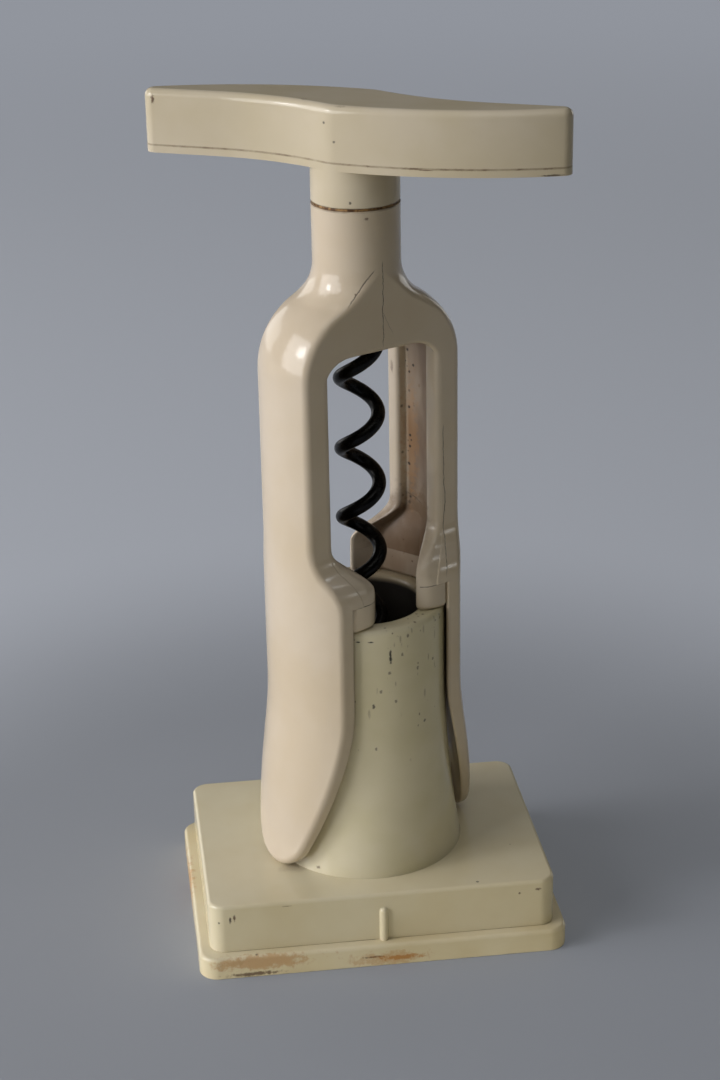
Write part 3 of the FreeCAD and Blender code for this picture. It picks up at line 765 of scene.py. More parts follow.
@dataclass(frozen=True)
class Specks(Mark):
    """Specks scattered within an ellipsoid, drawn out along Z by a stretch."""

    centre: Triple = (0, 0, 0)
    reach: Triple = (500, 500, 500)
    spacing: float = 3.0
    share: float = 0.2
    size: float = 0.3
    stretch: float = 1.0
    ragged: float = 0.8
    grain: float = 0.2

    def mask(self, graph: Graph, point: bpy.types.NodeSocket) -> bpy.types.NodeSocket:
        """Lay the specks and fade them out towards the edge of their place."""
        squeezed = graph.vector("MULTIPLY", point, (1, 1, 1 / self.stretch))
        specks = graph.apply(flecks(), Point=squeezed, Spacing=self.spacing, Share=self.share, Size=self.size)
        place = graph.apply(blot(), Point=point, Centre=self.centre, Reach=self.reach, Ragged=self.ragged,
                            Grain=self.grain)
        return graph.sum("MULTIPLY", specks["Mask"], place["Mask"])


@dataclass(frozen=True)
class SeamDirt(Mark):
    """Dirt along a level seam."""

    level: float = 0.0
    width: float = 0.3
    breaks: float = 0.7

    def mask(self, graph: Graph, point: bpy.types.NodeSocket) -> bpy.types.NodeSocket:
        """Follow the seam's height."""
        off = graph.sum("SUBTRACT", graph.axes(point)["Z"], self.level)
        return graph.apply(tide_line(), Point=point, Off=off, Width=self.width, Breaks=self.breaks)["Mask"]


@dataclass(frozen=True)
class Crack(Mark):
    """A hairline from one point to another on a wall that faces a direction."""

    start: Triple = (0, 0, 0)
    end: Triple = (0, 0, 1)
    wall: Triple = (0, 1, 0)
    width: float = 0.09
    wander: float = 0.8

    def mask(self, graph: Graph, point: bpy.types.NodeSocket) -> bpy.types.NodeSocket:
        """Measure along, across and into the wall from the crack's start."""
        run = Vector(self.end) - Vector(self.start)
        along, into = run.normalized(), Vector(self.wall).normalized()
        across = along.cross(into).normalized()
        away = graph.vector("SUBTRACT", point, self.start)
        measured = {
            name: graph.vector("DOT_PRODUCT", away, tuple(direction))
            for name, direction in (("Along", along), ("Across", across), ("Depth", into))
        }
        return graph.apply(hairline(), Point=point, Length=run.length, Width=self.width, Wander=self.wander,
                           **measured)["Mask"]


@dataclass(frozen=True)
class CorkStain(Mark):
    """The brown that corks leave on a leg's inner wall, between its raised edges."""

    narrow: float = 4.2
    wide: float = 9.4
    wide_until: float = 73.0
    narrow_from: float = 81.0
    reach: float = 14.9
    reach_soft: float = 0.3
    soft: float = 0.9
    top: float = 116.0
    run_down: float = 0.35
    cloud_scale: float = 0.16
    clouds: Pair = (0.25, 0.7)
    thinnest: float = 0.6

    def mask(self, graph: Graph, point: bpy.types.NodeSocket) -> bpy.types.NodeSocket:
        """Keep to the wall between the edges, and cloud it."""
        place = graph.axes(point)
        rising = graph.fade(place["Z"], self.wide_until, self.narrow_from)
        half = graph.sum("ADD", graph.sum("MULTIPLY", rising, self.narrow - self.wide), self.wide)
        off = graph.sum("SUBTRACT", half, graph.sum("ABSOLUTE", place["Y"]))
        within = graph.fade(graph.radius(point), self.reach, self.reach - self.reach_soft)
        between = graph.sum("MULTIPLY", graph.fade(off, 0.0, self.soft), within)
        drawn = graph.vector("MULTIPLY", point, (1, 1, self.run_down))
        cloud = graph.fade(graph.noise(drawn, self.cloud_scale, detail=3.0), *self.clouds)
        cloud = graph.sum("ADD", graph.sum("MULTIPLY", cloud, 1 - self.thinnest), self.thinnest)
        below = graph.fade(place["Z"], self.top, self.top - self.soft)
        return graph.sum("MULTIPLY", below, graph.sum("MULTIPLY", between, cloud))


@dataclass(frozen=True)
class DepthShade(Mark):
    """Painted shade that fills a hollow round the axis, below a level."""

    radius: float = 10.0
    level: float = 0.0
    soft: float = 1.2
    edge: float = 0.3

    def mask(self, graph: Graph, point: bpy.types.NodeSocket) -> bpy.types.NodeSocket:
        """Start below the level, inside the radius."""
        within = graph.fade(graph.radius(point), self.radius + self.edge, self.radius)
        below = graph.fade(graph.axes(point)["Z"], self.level, self.level - self.soft)
        return graph.sum("MULTIPLY", within, below)


# Finishes

SOOT = srgb(30, 22, 16)
# Near black, laid as painted shade inside the post's well.
PAINTED_WELL_SHADE = srgb(20, 12, 8)
BROWN = srgb(92, 62, 38)
RUST = srgb(188, 132, 66)
GRIME = srgb(50, 30, 18)
# Mid brown laid as painted shade under the left leg's tip and low inside the right leg's window, and as dirt along
# the handle's seam.
SHADE_AND_SEAM_BROWN = srgb(120, 98, 72)
# Cork brown for the stains that corks leave, also laid as painted shade on the post's far rim and low inside the
# right leg.
CORK_BROWN_AND_SHADE = srgb(112, 84, 58)


def new_finish(name: str) -> tuple[bpy.types.Material, Graph, bpy.types.Node]:
    """A new material, a graph over its nodes, and its shader."""
    made = bpy.data.materials.new(name)
    made.use_nodes = True
    return made, Graph(made.node_tree), made.node_tree.nodes["Principled BSDF"]


@dataclass(frozen=True)
class IvoryPlastic:
    """Glossy ivory plastic that has yellowed, with the marks that its piece carries."""

    name: str
    fresh: Colour
    aged: Colour
    amount: float
    cloud: float = 26.0
    roughness: float = 0.14
    uneven: float = 0.16
    waves: float = 0.05
    grain: float = 0.0035
    scratches: float = 0.004
    refraction: float = 1.5
    turn: float = 0.0
    marks: tuple[Mark, ...] = ()

    def material(self) -> bpy.types.Material:
        """Build the plastic's material.

        Returns:
            The material.
        """
        made, graph, shader = new_finish(self.name)
        shader.inputs["IOR"].default_value = self.refraction
        point = self.point(graph)
        skin = graph.apply(moulded_skin(), Point=point, Waves=self.waves, Grain=self.grain,
                           Scratches=self.scratches)
        colour = graph.apply(yellowing(), Point=point, Fresh=self.fresh, Aged=self.aged, Cloud=self.cloud,
                             Amount=self.amount)["Colour"]
        height = skin["Height"]
        wear = graph.sum("MULTIPLY", graph.sum("SUBTRACT", skin["Wear"], 0.5), self.uneven)
        rough = graph.sum("ADD", wear, self.roughness)
        for mark in self.marks:
            mask = mark.mask(graph, point)
            colour = graph.blend(graph.sum("MULTIPLY", mask, mark.cover), colour, mark.colour)
            rough = graph.sum("ADD", rough, graph.sum("MULTIPLY", mask, mark.dull * mark.cover))
            if mark.depth:
                height = graph.sum("SUBTRACT", height, graph.sum("MULTIPLY", mask, mark.depth))
        graph.bumps(shader, height)
        graph.feed(shader.inputs["Base Color"], colour)
        graph.feed(shader.inputs["Roughness"], rough)
        return made

    def point(self, graph: Graph) -> bpy.types.NodeSocket:
        """The place on the surface in millimetres, turned into the piece's own frame."""
        place = graph.add("ShaderNodeTexCoord")
        mapping = graph.add("ShaderNodeMapping", vector_type="POINT")
        mapping.inputs["Rotation"].default_value = (0, 0, math.radians(self.turn))
        mapping.inputs["Scale"].default_value = (1 / MM, 1 / MM, 1 / MM)
        graph.feed(mapping.inputs["Vector"], place.outputs["Object"])
        return mapping.outputs[0]


@dataclass(frozen=True)
class CoatedSteel:
    """Black non-stick coating, worn a little greyer where it has rubbed."""

    name: str = "Black coated steel"
    black: Colour = srgb(7, 6, 6)
    worn: Colour = srgb(22, 20, 18)
    shine: float = 0.15
    roughness: float = 0.16
    grain_rough: float = 0.2
    worn_rough: float = 0.14
    relief: float = 0.012
    rub_scale: float = 0.35
    rubs: Pair = (0.5, 0.72)
    grain_scale: float = 6.0

    def material(self) -> bpy.types.Material:
        """Build the coating's material.

        Returns:
            The material.
        """
        made, graph, shader = new_finish(self.name)
        shader.inputs["Specular IOR Level"].default_value = self.shine
        place = graph.add("ShaderNodeTexCoord").outputs["Object"]
        point = graph.vector("MULTIPLY", place, (1 / MM, 1 / MM, 1 / MM))
        rubbed = graph.fade(graph.noise(point, self.rub_scale, detail=4.0, rough=0.65), *self.rubs)
        grain = graph.noise(point, self.grain_scale, detail=3.0, rough=0.6)
        rough = graph.sum("ADD", graph.sum("MULTIPLY", grain, self.grain_rough),
                          graph.sum("MULTIPLY", rubbed, self.worn_rough))
        graph.bumps(shader, graph.sum("MULTIPLY", grain, self.relief))
        graph.feed(shader.inputs["Base Color"], graph.blend(rubbed, self.black, self.worn))
        graph.feed(shader.inputs["Roughness"], graph.sum("ADD", rough, self.roughness))
        return made


@dataclass(frozen=True)
class GrimyWasher:
    """Dark brown washer, dull with old grease."""

    name: str = "Grimy washer"
    brown: Colour = srgb(92, 62, 34)
    greased: Colour = srgb(176, 140, 92)
    grease_scale: float = 0.9
    smears: Pair = (0.4, 0.62)
    roughness: float = 0.35
    uneven: float = 0.4

    def material(self) -> bpy.types.Material:
        """Build the washer's material.

        Returns:
            The material.
        """
        made, graph, shader = new_finish(self.name)
        place = graph.add("ShaderNodeTexCoord").outputs["Object"]
        grease = graph.noise(place, self.grease_scale / MM, detail=4.0, rough=0.65)
        colour = graph.blend(graph.fade(grease, *self.smears), self.brown, self.greased)
        graph.feed(shader.inputs["Base Color"], colour)
        rough = graph.sum("ADD", graph.sum("MULTIPLY", grease, self.uneven), self.roughness)
        graph.feed(shader.inputs["Roughness"], rough)
        return made


# Sub-assemblies


@dataclass
class Stand:
    """The stand: a tray under a raised block, and a hollow post that the yoke straddles."""

    turn: float = -26.85
    tray_length: float = 70.9
    tray_depth: float = 52.8
    tray_corner: float = 3.6
    tray_edge: float = 0.8
    tray_floor: float = 2.0
    rim_wall: float = 1.6
    rim_gap: float = 0.1
    block_length: float = 66.6
    block_depth: float = 48.4
    block_corner: float = 3.1
    block_edge: float = 0.7
    block_wall: float = 2.0
    foot_edge: float = 0.18
    ridge_radius: float = 0.78
    ridge_fillet: float = 0.25
    ridge_height: float = 7.0
    hole_gap: float = 0.04
    post_radius: float = 15.62
    flare_start: float = 35.5
    flare_out: float = 2.9
    post_wall: float = 2.2
    lip_round: float = 1.1
    foot_wide: float = 3.0
    foot_thick: float = 2.0
    well_radius: float = 11.2
    well_wall: float = 2.0
    well_floor: float = 3.0
    well_lip: float = 1.0
    dark_below_rim: float = 0.5
    post_marks: tuple[Triple, ...] = (
        (5.4, -14.7, 59.9), (6.6, -14.2, 63.5), (8.5, -13.1, 56.2), (11.8, -10.2, 56.5), (4.1, -15.1, 50.5),
        (1.2, -15.6, 52.9), (0.1, -15.7, 41.1), (2.9, -15.3, 56.6),
    )
    corner_steps: int = 10
    edge_steps: int = 5
    foot_steps: int = 2
    crest_steps: int = 8
    dome_steps: int = 24
    post_steps: int = 144
    flare_steps: int = 26
    lip_steps: int = 7
    well_steps: int = 4
    tray_top: float = field(init=False)
    block_top: float = field(init=False)
    post_top: float = field(init=False)
    rim_top: float = field(init=False)

    def __post_init__(self) -> None:
        """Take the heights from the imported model."""
        self.tray_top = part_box("base_shell")[0].z / MM
        self.rim_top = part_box("base_tray")[1].z / MM
        self.block_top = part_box("base_shell")[1].z / MM
        self.post_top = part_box("stand_post")[1].z / MM

    def build(self) -> None:
        """Build and dress the stand's three pieces."""
        for name, node, make, finish in (
            ("stand_tray", "base_tray", self.make_tray, self.tray_finish),
            ("stand_block", "base_shell", self.make_block, self.block_finish),
            ("stand_tower", "stand_post", self.make_tower, self.tower_finish),
        ):
            Piece(name, Body.STAND, Slot.STAND, (node,)).place(make(name), finish().material())

    def make_tray(self, name: str) -> bpy.types.Object:
        """Make the tray, with the rim and pan that the block sits over.

        Args:
            name: The piece's name.

        Returns:
            The object.
        """
        mould = Moulding()
        plate = mould.rounded_plate(self.tray_length / 2, self.tray_depth / 2, self.tray_corner, 0,
                                    self.corner_steps)
        top = mould.extrude([plate], UP * self.tray_top)
        mould.soften([edge for face in top for edge in face.edges], self.tray_edge, self.edge_steps)
        bottom = mould.edges_where(lambda place: place.z < TOUCH)
        mould.soften(bottom, self.foot_edge, self.foot_steps)
        upper = max(mould.bm.faces, key=lambda face: face.calc_center_median().z)
        outer = list(upper.edges)
        mould.drop_faces([upper])
        inside = self.block_wall + self.rim_gap
        reach = Vector((self.block_length / 2 - inside, self.block_depth / 2 - inside, 0))
        rim = self.square(mould, reach, self.tray_top)
        mould.fill_between([*outer, *rim])
        rim = mould.extrude_edges(rim, UP * (self.rim_top - self.tray_top))
        pan = self.square(mould, reach - Vector((self.rim_wall, self.rim_wall, 0)), self.rim_top)
        mould.fill_between([*rim, *pan])
        pan = mould.extrude_edges(pan, UP * (self.tray_floor - self.rim_top))
        bmesh.ops.holes_fill(mould.bm, edges=pan, sides=len(pan))
        mould.turned(self.turn)
        return mould.finish(name)

    def square(self, mould: Moulding, reach: Vector, height: float) -> list[BMEdge]:
        """Add a square-cornered loop about the Z axis at a height."""
        corners = [(1, 1), (-1, 1), (-1, -1), (1, -1)]
        return mould.chain([Vector((reach.x * x, reach.y * y, height)) for x, y in corners], closed=True)

    def make_block(self, name: str) -> bpy.types.Object:
        """Make the raised block: an outer and an inner skin, joined at the foot and round the post's hole.

        Args:
            name: The piece's name.

        Returns:
            The object.
        """
        mould = Moulding()
        half = Vector((self.block_length / 2, self.block_depth / 2, 0))
        wall = Vector((self.block_wall, self.block_wall, 0))
        outer = self.skin(mould, half, self.block_corner, self.block_top, self.block_edge, self.foot_edge)
        inner = self.skin(mould, half - wall, self.block_corner - self.block_wall,
                          self.block_top - self.block_wall, 0, 0)
        for a, b in zip(outer, inner):
            bmesh.ops.bridge_loops(mould.bm, edges=[*a, *b])
        self.add_ridge(mould)
        mould.turned(self.turn)
        return mould.finish(name)

    def skin(self, mould: Moulding, half: Vector, corner: float, top: float, edge: float,
             foot: float) -> tuple[list[BMEdge], list[BMEdge]]:
        """Add one open skin of the block.

        Args:
            mould: The mesh to add to.
            half: Half its length and depth.
            corner: The radius of its corners.
            top: Its height.
            edge: The rounding of its top edge.
            foot: The rounding of its foot.

        Returns:
            The loops at its foot and round its hole.
        """
        plate = mould.rounded_plate(half.x, half.y, corner, self.tray_top, self.corner_steps)
        upper = mould.extrude([plate], UP * (top - self.tray_top))
        if edge:
            mould.soften(list(upper[0].edges), edge, self.edge_steps)
            mould.soften(list(mould.widest_face(self.tray_top).edges), foot, self.foot_steps)
        floor, upper = (mould.widest_face(height) for height in (self.tray_top, top))
        loops = [list(face.edges) for face in (floor, upper)]
        mould.drop_faces([floor, upper])
        hole = self.post_radius + self.flare_out + self.hole_gap
        ring = bmesh.ops.create_circle(
            mould.bm, cap_ends=False, radius=hole, segments=self.post_steps,
            matrix=Matrix.Translation((0, 0, top)),
        )
        edges = list({item for vert in ring["verts"] for item in vert.link_edges})
        mould.fill_between([*loops[1], *edges])
        return loops[0], edges

    def add_ridge(self, mould: Moulding) -> None:
        """Add the small upright ridge on the block's front, domed above and blended into the wall.

        Args:
            mould: The mesh to add to.
        """
        wall = -self.block_depth / 2
        centre_z = self.tray_top + self.ridge_height - self.ridge_radius
        blend = self.ridge_fillet
        side = self.ridge_radius + blend
        lift = math.degrees(math.asin(blend / side))
        crest = arc((0, 0), self.ridge_radius, 90, lift, self.crest_steps)
        foot = (side * math.cos(math.radians(lift)), blend)
        flank = arc(foot, blend, 180 + lift, 270, self.edge_steps)
        profile = [*crest, *flank[1:], (flank[-1][0], -blend)]
        right = [Vector((across, wall - out, centre_z)) for across, out in profile]
        edges = mould.chain(right)
        start = list(edges)
        centre = Vector((0, wall, centre_z))
        end = mould.spin(edges, -math.pi, self.dome_steps, centre=centre, axis=Vector((0, 1, 0)))
        drop = UP * (self.tray_top - centre_z)
        mould.extrude_edges(start, drop)
        mould.extrude_edges(end, drop)
        bmesh.ops.remove_doubles(mould.bm, verts=mould.bm.verts, dist=TOUCH)

    def make_tower(self, name: str) -> bpy.types.Object:
        """Turn the hollow post with its mouth, well, flare and foot.

        Args:
            name: The piece's name.

        Returns:
            The object.
        """
        top, lip, base = self.post_top, self.lip_round, self.post_radius + self.flare_out
        flare_top = self.block_top + self.flare_start
        curve = (self.flare_start**2 + self.flare_out**2) / (2 * self.flare_out)
        spread = math.degrees(math.asin(self.flare_start / curve))
        flare = arc((self.post_radius + curve, flare_top), curve, 180, 180 + spread, self.flare_steps)
        under = self.block_top - self.block_wall
        tube = self.well_radius + self.well_wall
        ceiling = top - self.post_wall
        floor = self.tray_floor + self.well_floor
        mouth = (self.well_radius + self.well_lip, top - self.well_lip)
        inner_flare = [(radius - self.post_wall, height) for radius, height in reversed(flare)]
        profile = [
            (0, floor),
            (self.well_radius, floor),
            *arc(mouth, self.well_lip, 180, 90, self.well_steps),
            *arc((self.post_radius - lip, top - lip), lip, 90, 0, self.lip_steps),
            *flare,
            (base, under),
            (base + self.foot_wide, under),
            (base + self.foot_wide, under - self.foot_thick),
            (base - self.post_wall, under - self.foot_thick),
            *inner_flare,
            (self.post_radius - self.post_wall, ceiling),
            (tube, ceiling),
            (tube, self.tray_floor),
            (0, self.tray_floor),
        ]
        mould = Moulding()
        mould.lathe(profile, self.post_steps)
        return mould.finish(name)

    def tray_finish(self) -> IvoryPlastic:
        """The tray's plastic, stained along its front and its left end."""
        front, end = -self.tray_depth / 2, -self.tray_length / 2
        return IvoryPlastic(
            "Tray ivory", fresh=srgb(228, 217, 188), aged=srgb(216, 200, 160), amount=0.8, turn=-self.turn,
            marks=(
                StainAndShade(RUST, 0.6, centre=(-24, front, 3.1), reach=(12, 2, 2.0), ragged=2.2, grain=0.7),
                StainAndShade(BROWN, 0.8, centre=(-25.5, front, 0.7), reach=(6.5, 1.5, 0.55), ragged=2.2, grain=1.3),
                StainAndShade(BROWN, 0.85, centre=(-2.5, front, 2.1), reach=(2.6, 1.2, 0.3), ragged=2.0, grain=1.9),
                StainAndShade(RUST, 0.9, centre=(2.6, front, 1.6), reach=(5.5, 1.2, 0.7), ragged=2.4, grain=1.2),
                StainAndShade(RUST, 0.4, centre=(0.5, front, 1.5), reach=(9, 2, 1.8), ragged=2.4, grain=0.7),
                StainAndShade(RUST, 0.75, centre=(end, 6, 2.4), reach=(2, 16, 2.6), ragged=2.0, grain=0.5),
                SeamDirt(GRIME, 0.6, level=0.0, width=0.3, breaks=0.6),
                Specks(SOOT, 0.7, spacing=5, share=0.18, size=0.3),
            ),
        )

    def block_finish(self) -> IvoryPlastic:
        """The block's plastic, with dirt along its foot, chips at its corners and a painted shadow under the left
        leg's tip.
        """
        front = -self.block_depth / 2
        chip = {"ragged": 1.6, "grain": 2.4}
        return IvoryPlastic(
            "Block ivory", fresh=srgb(228, 218, 190), aged=srgb(218, 204, 168), amount=0.75, turn=-self.turn,
            marks=(
                SeamDirt(BROWN, 0.7, level=self.tray_top, width=0.2, breaks=0.75),
                StainAndShade(GRIME, 0.9, centre=(-29.3, front, 11.6), reach=(0.3, 1, 0.9), **chip),
                StainAndShade(BROWN, 0.9, centre=(-28.5, front, 12.0), reach=(0.3, 1, 0.9), **chip),
                StainAndShade(BROWN, 0.85, centre=(29.8, front, 12.7), reach=(0.7, 1, 0.35), **chip),
                StainAndShade(BROWN, 0.8, centre=(26.2, front, 12.1), reach=(0.3, 1, 0.35), **chip),
                StainAndShade(BROWN, 0.5, centre=(-18.5, front, 13.6), reach=(1.1, 1, 0.14), **chip),
                # Painted shadow on the block's top, under the left leg's tip.
                StainAndShade(SHADE_AND_SEAM_BROWN, 0.3, centre=(-15.5, -11.8, self.block_top), reach=(4, 2.6, 1), ragged=0.8),
                Specks(SOOT, 0.75, spacing=4.5, share=0.16, size=0.3),
            ),
        )

    def tower_finish(self) -> IvoryPlastic:
        """The post's plastic: pitted and specked at the front, with painted shade in its well and on its rim's far
        side.
        """
        dark = self.post_top - self.dark_below_rim
        return IvoryPlastic(
            "Post ivory", fresh=srgb(230, 221, 194), aged=srgb(216, 207, 168), amount=0.85, turn=-self.turn,
            marks=(
                # Cork brown stain with painted shade on the far side of the rim.
                StainAndShade(CORK_BROWN_AND_SHADE, 0.62, centre=(7, 10.5, 65.2), reach=(14, 14, 5), ragged=0.6),
                # Painted shade: the well is nearly black below its lip.
                DepthShade(PAINTED_WELL_SHADE, 0.98, dull=0.6, radius=self.well_radius, level=dark),
                Specks(BROWN, 0.6, 0.01, centre=(3, -14, 56), reach=(26, 14, 22), spacing=2.0, share=0.5,
                       size=0.32, stretch=1.6),
                Specks(BROWN, 0.35, centre=(4, -14, 58), reach=(24, 14, 16), spacing=1.2, share=0.4,
                       size=0.28, stretch=3.5),
                StainAndShade(SOOT, 0.95, 0.03, centre=(3.1, -15.3, 59.8), reach=(0.34, 1, 1.9), ragged=1.6, grain=2.2),
                StainAndShade(SOOT, 0.95, 0.02, centre=(-0.6, -15.6, 63.3), reach=(0.7, 1, 0.22), ragged=1.6, grain=2.2),
                StainAndShade(SOOT, 0.95, 0.02, centre=(-2.9, -15.3, 63.4), reach=(0.5, 1, 0.2), ragged=1.6, grain=2.2),
                StainAndShade(SOOT, 0.8, centre=(-0.28, -15.6, 50.0), reach=(0.35, 1, 0.6), ragged=2.0, grain=2.4),
                StainAndShade(SOOT, 0.7, centre=(9.9, -12.2, 44.5), reach=(0.4, 0.6, 0.4), ragged=1.6, grain=2.4),
                StainAndShade(BROWN, 0.7, centre=(-11.3, -14.4, 15.6), reach=(0.6, 0.6, 0.4), ragged=1.6, grain=2.4),
                Specks(BROWN, 0.85, centre=(6, -12, 65.2), reach=(20, 12, 3.4), spacing=1.1, share=0.5, size=0.36),
                *(StainAndShade(GRIME, 0.6, centre=place, reach=(0.34, 0.7, 0.46), ragged=1.8, grain=2.4)
                  for place in self.post_marks),
            ),
        )


@dataclass
class Yoke:
    """The yoke and the two lip stops inside its legs.

    A leg's inside is drawn from above for the front half of the right leg. Seen so, its line runs from the
    front corner to the nose of its raised edge, to the foot of that edge, and back to the wall's middle.
    """

    crown_half: float = 8.04
    skirt_half: float = 12.9
    flare_low: float = 69.5
    flare_high: float = 82.0
    low_line: tuple[Pair, ...] = ((6.2, 0.3), (4.2, -10.8), (10.2, -8.8), (13.3, 0))
    high_line: tuple[Pair, ...] = ((11.75, 0.0), (11.5, -4.3), (13.7, -4.3), (14.2, 0))
    low_until: float = 72.3
    high_from: float = 80.5
    edge_top: float = 116.2
    edge_rounds: Triple = (1.1, 1.25, 0.9)
    nose_inset: Pair = (1.4, 0.4)
    buried: float = 15.9
    proud: float = 0.02
    sunk: float = 0.08
    stop_outer: float = 16.27
    stop_round: float = 1.1
    stop_seam: float = 0.12
    seam_level: float = 70.42
    rim_level: float = 65.2
    neck_level: float = 142.5
    fresh: Colour = srgb(218, 204, 186)
    aged: Colour = srgb(208, 190, 162)
    amount: float = 0.55
    flare_steps: int = 22
    back_steps: int = 14
    stop_steps: int = 6

    def build(self) -> None:
        """Build and dress the yoke and its stops."""
        yoke = Piece("yoke_moulding", Body.YOKE, Slot.YOKE, ("yoke_frame",))
        yoke.place(self.make_moulding(yoke.name), self.moulding_finish().material())
        for side in Side:
            label = side.name.lower()
            stop = Piece(f"rest_{label}", Body.YOKE, Slot.STOP, (f"lip_stop_{label}",))
            stop.place(self.make_stop(stop.name, side), self.stop_finish(label).material())

    def half_depth(self, height: float) -> float:
        """How far a leg reaches forward at a height, along the S-curve of its flare."""
        rise = self.flare_high - self.flare_low
        widening = self.skirt_half - self.crown_half
        curve = (rise ** 2 + widening ** 2) / (4 * widening)
        above = min(max(height - self.flare_low, 0), rise)
        if above < rise / 2:
            return self.skirt_half - curve + math.sqrt(curve ** 2 - above ** 2)
        return self.crown_half + curve - math.sqrt(curve ** 2 - (rise - above) ** 2)

    def section(self, side: Side, height: float, outer: float, inset: float = 0.0,
                front_inset: float = 0.0) -> list[Vector]:
        """A level section of one leg's inner lining, as a closed line.

        Args:
            side: The leg.
            height: The section's height.
            outer: The radius of its outer line.
            inset: How far its inner line is drawn back into the wall.
            front_inset: How far its front is drawn back.

        Returns:
            The points in order.
        """
        rise = min(max((height - self.low_until) / (self.high_from - self.low_until), 0), 1)
        share = rise * rise * (3 - 2 * rise)
        line = [Vector(low).lerp(Vector(high), share) for low, high in zip(self.low_line, self.high_line)]
        front = -self.half_depth(height) - self.proud
        line[0].y += front + front_inset
        line[0].x += inset / 2
        line[1] += Vector(self.nose_inset) * inset
        line[2].x += inset
        line[3].x += inset
        start = Vector((math.sqrt(outer ** 2 - front ** 2), front + front_inset + self.sunk))
        turns = [start, *line]
        half = [start]
        for before, corner, after, size in zip(turns, turns[1:], turns[2:], self.edge_rounds):
            half += self.eased(before, corner, after, size)
        back = [Vector((point.x, -point.y)) for point in reversed(half)]
        end = math.degrees(math.asin(back[-1].y / outer))
        points = [*half, line[3], *back, *arc((0, 0), outer, end, -end, self.back_steps)[1:-1]]
        return [Vector((side.value * x, y, height)) for x, y in points]

    def eased(self, before: Vector, corner: Vector, after: Vector, size: float, steps: int = 5) -> list[Vector]:
        """Points round an eased corner.

        Args:
            before: The point before the corner.
            corner: The corner.
            after: The point after it.
            size: How far from the corner the easing starts.
            steps: The chords of the curve.

        Returns:
            The points from the first tangent point to the last.
        """
        first = corner + (before - corner).normalized() * size
        last = corner + (after - corner).normalized() * size
        shares = [step / steps for step in range(steps + 1)]
        return [first.lerp(corner, share).lerp(corner.lerp(last, share), share) for share in shares]

    def make_moulding(self, name: str) -> bpy.types.Object:
        """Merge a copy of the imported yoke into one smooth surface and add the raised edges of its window.

        Args:
            name: The piece's name.

        Returns:
            The object.
        """
        mould = Moulding()
        mould.bm.from_mesh(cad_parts["yoke_frame"].data)
        bmesh.ops.scale(mould.bm, vec=(1 / MM, 1 / MM, 1 / MM), verts=mould.bm.verts)
        bmesh.ops.remove_doubles(mould.bm, verts=mould.bm.verts, dist=TOUCH)
        bmesh.ops.dissolve_degenerate(mould.bm, dist=TOUCH, edges=mould.bm.edges)
        rise = self.flare_high - self.seam_level
        heights = [self.seam_level + rise * step / self.flare_steps for step in range(self.flare_steps + 1)]
        for side in Side:
            mould.loft([self.section(side, height, self.buried) for height in [*heights, self.edge_top]])
        return mould.finish(name, sharp_from=30, own_normals=False)

    def make_stop(self, name: str, side: Side) -> bpy.types.Object:
        """Loft one lip stop, which carries the lines of the leg's inside down to the post's rim.

        Args:
            name: The piece's name.
            side: The leg that it belongs to.

        Returns:
            The object.
        """
        low, high = (corner.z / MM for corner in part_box(f"lip_stop_{side.name.lower()}"))
        mould = Moulding()
        rounding = arc((0, low + self.stop_round), self.stop_round, -90, 0, self.stop_steps)
        seam = self.stop_seam
        levels = [(self.stop_round - out, self.stop_round - out, height) for out, height in rounding]
        levels += [(0, 0, high - seam), (0, seam / 3, high - seam / 3), (0, seam, high)]
        mould.loft([
            self.section(side, height, self.stop_outer, inset, front) for inset, front, height in levels
        ])
        return mould.finish(name, sharp_from=50)

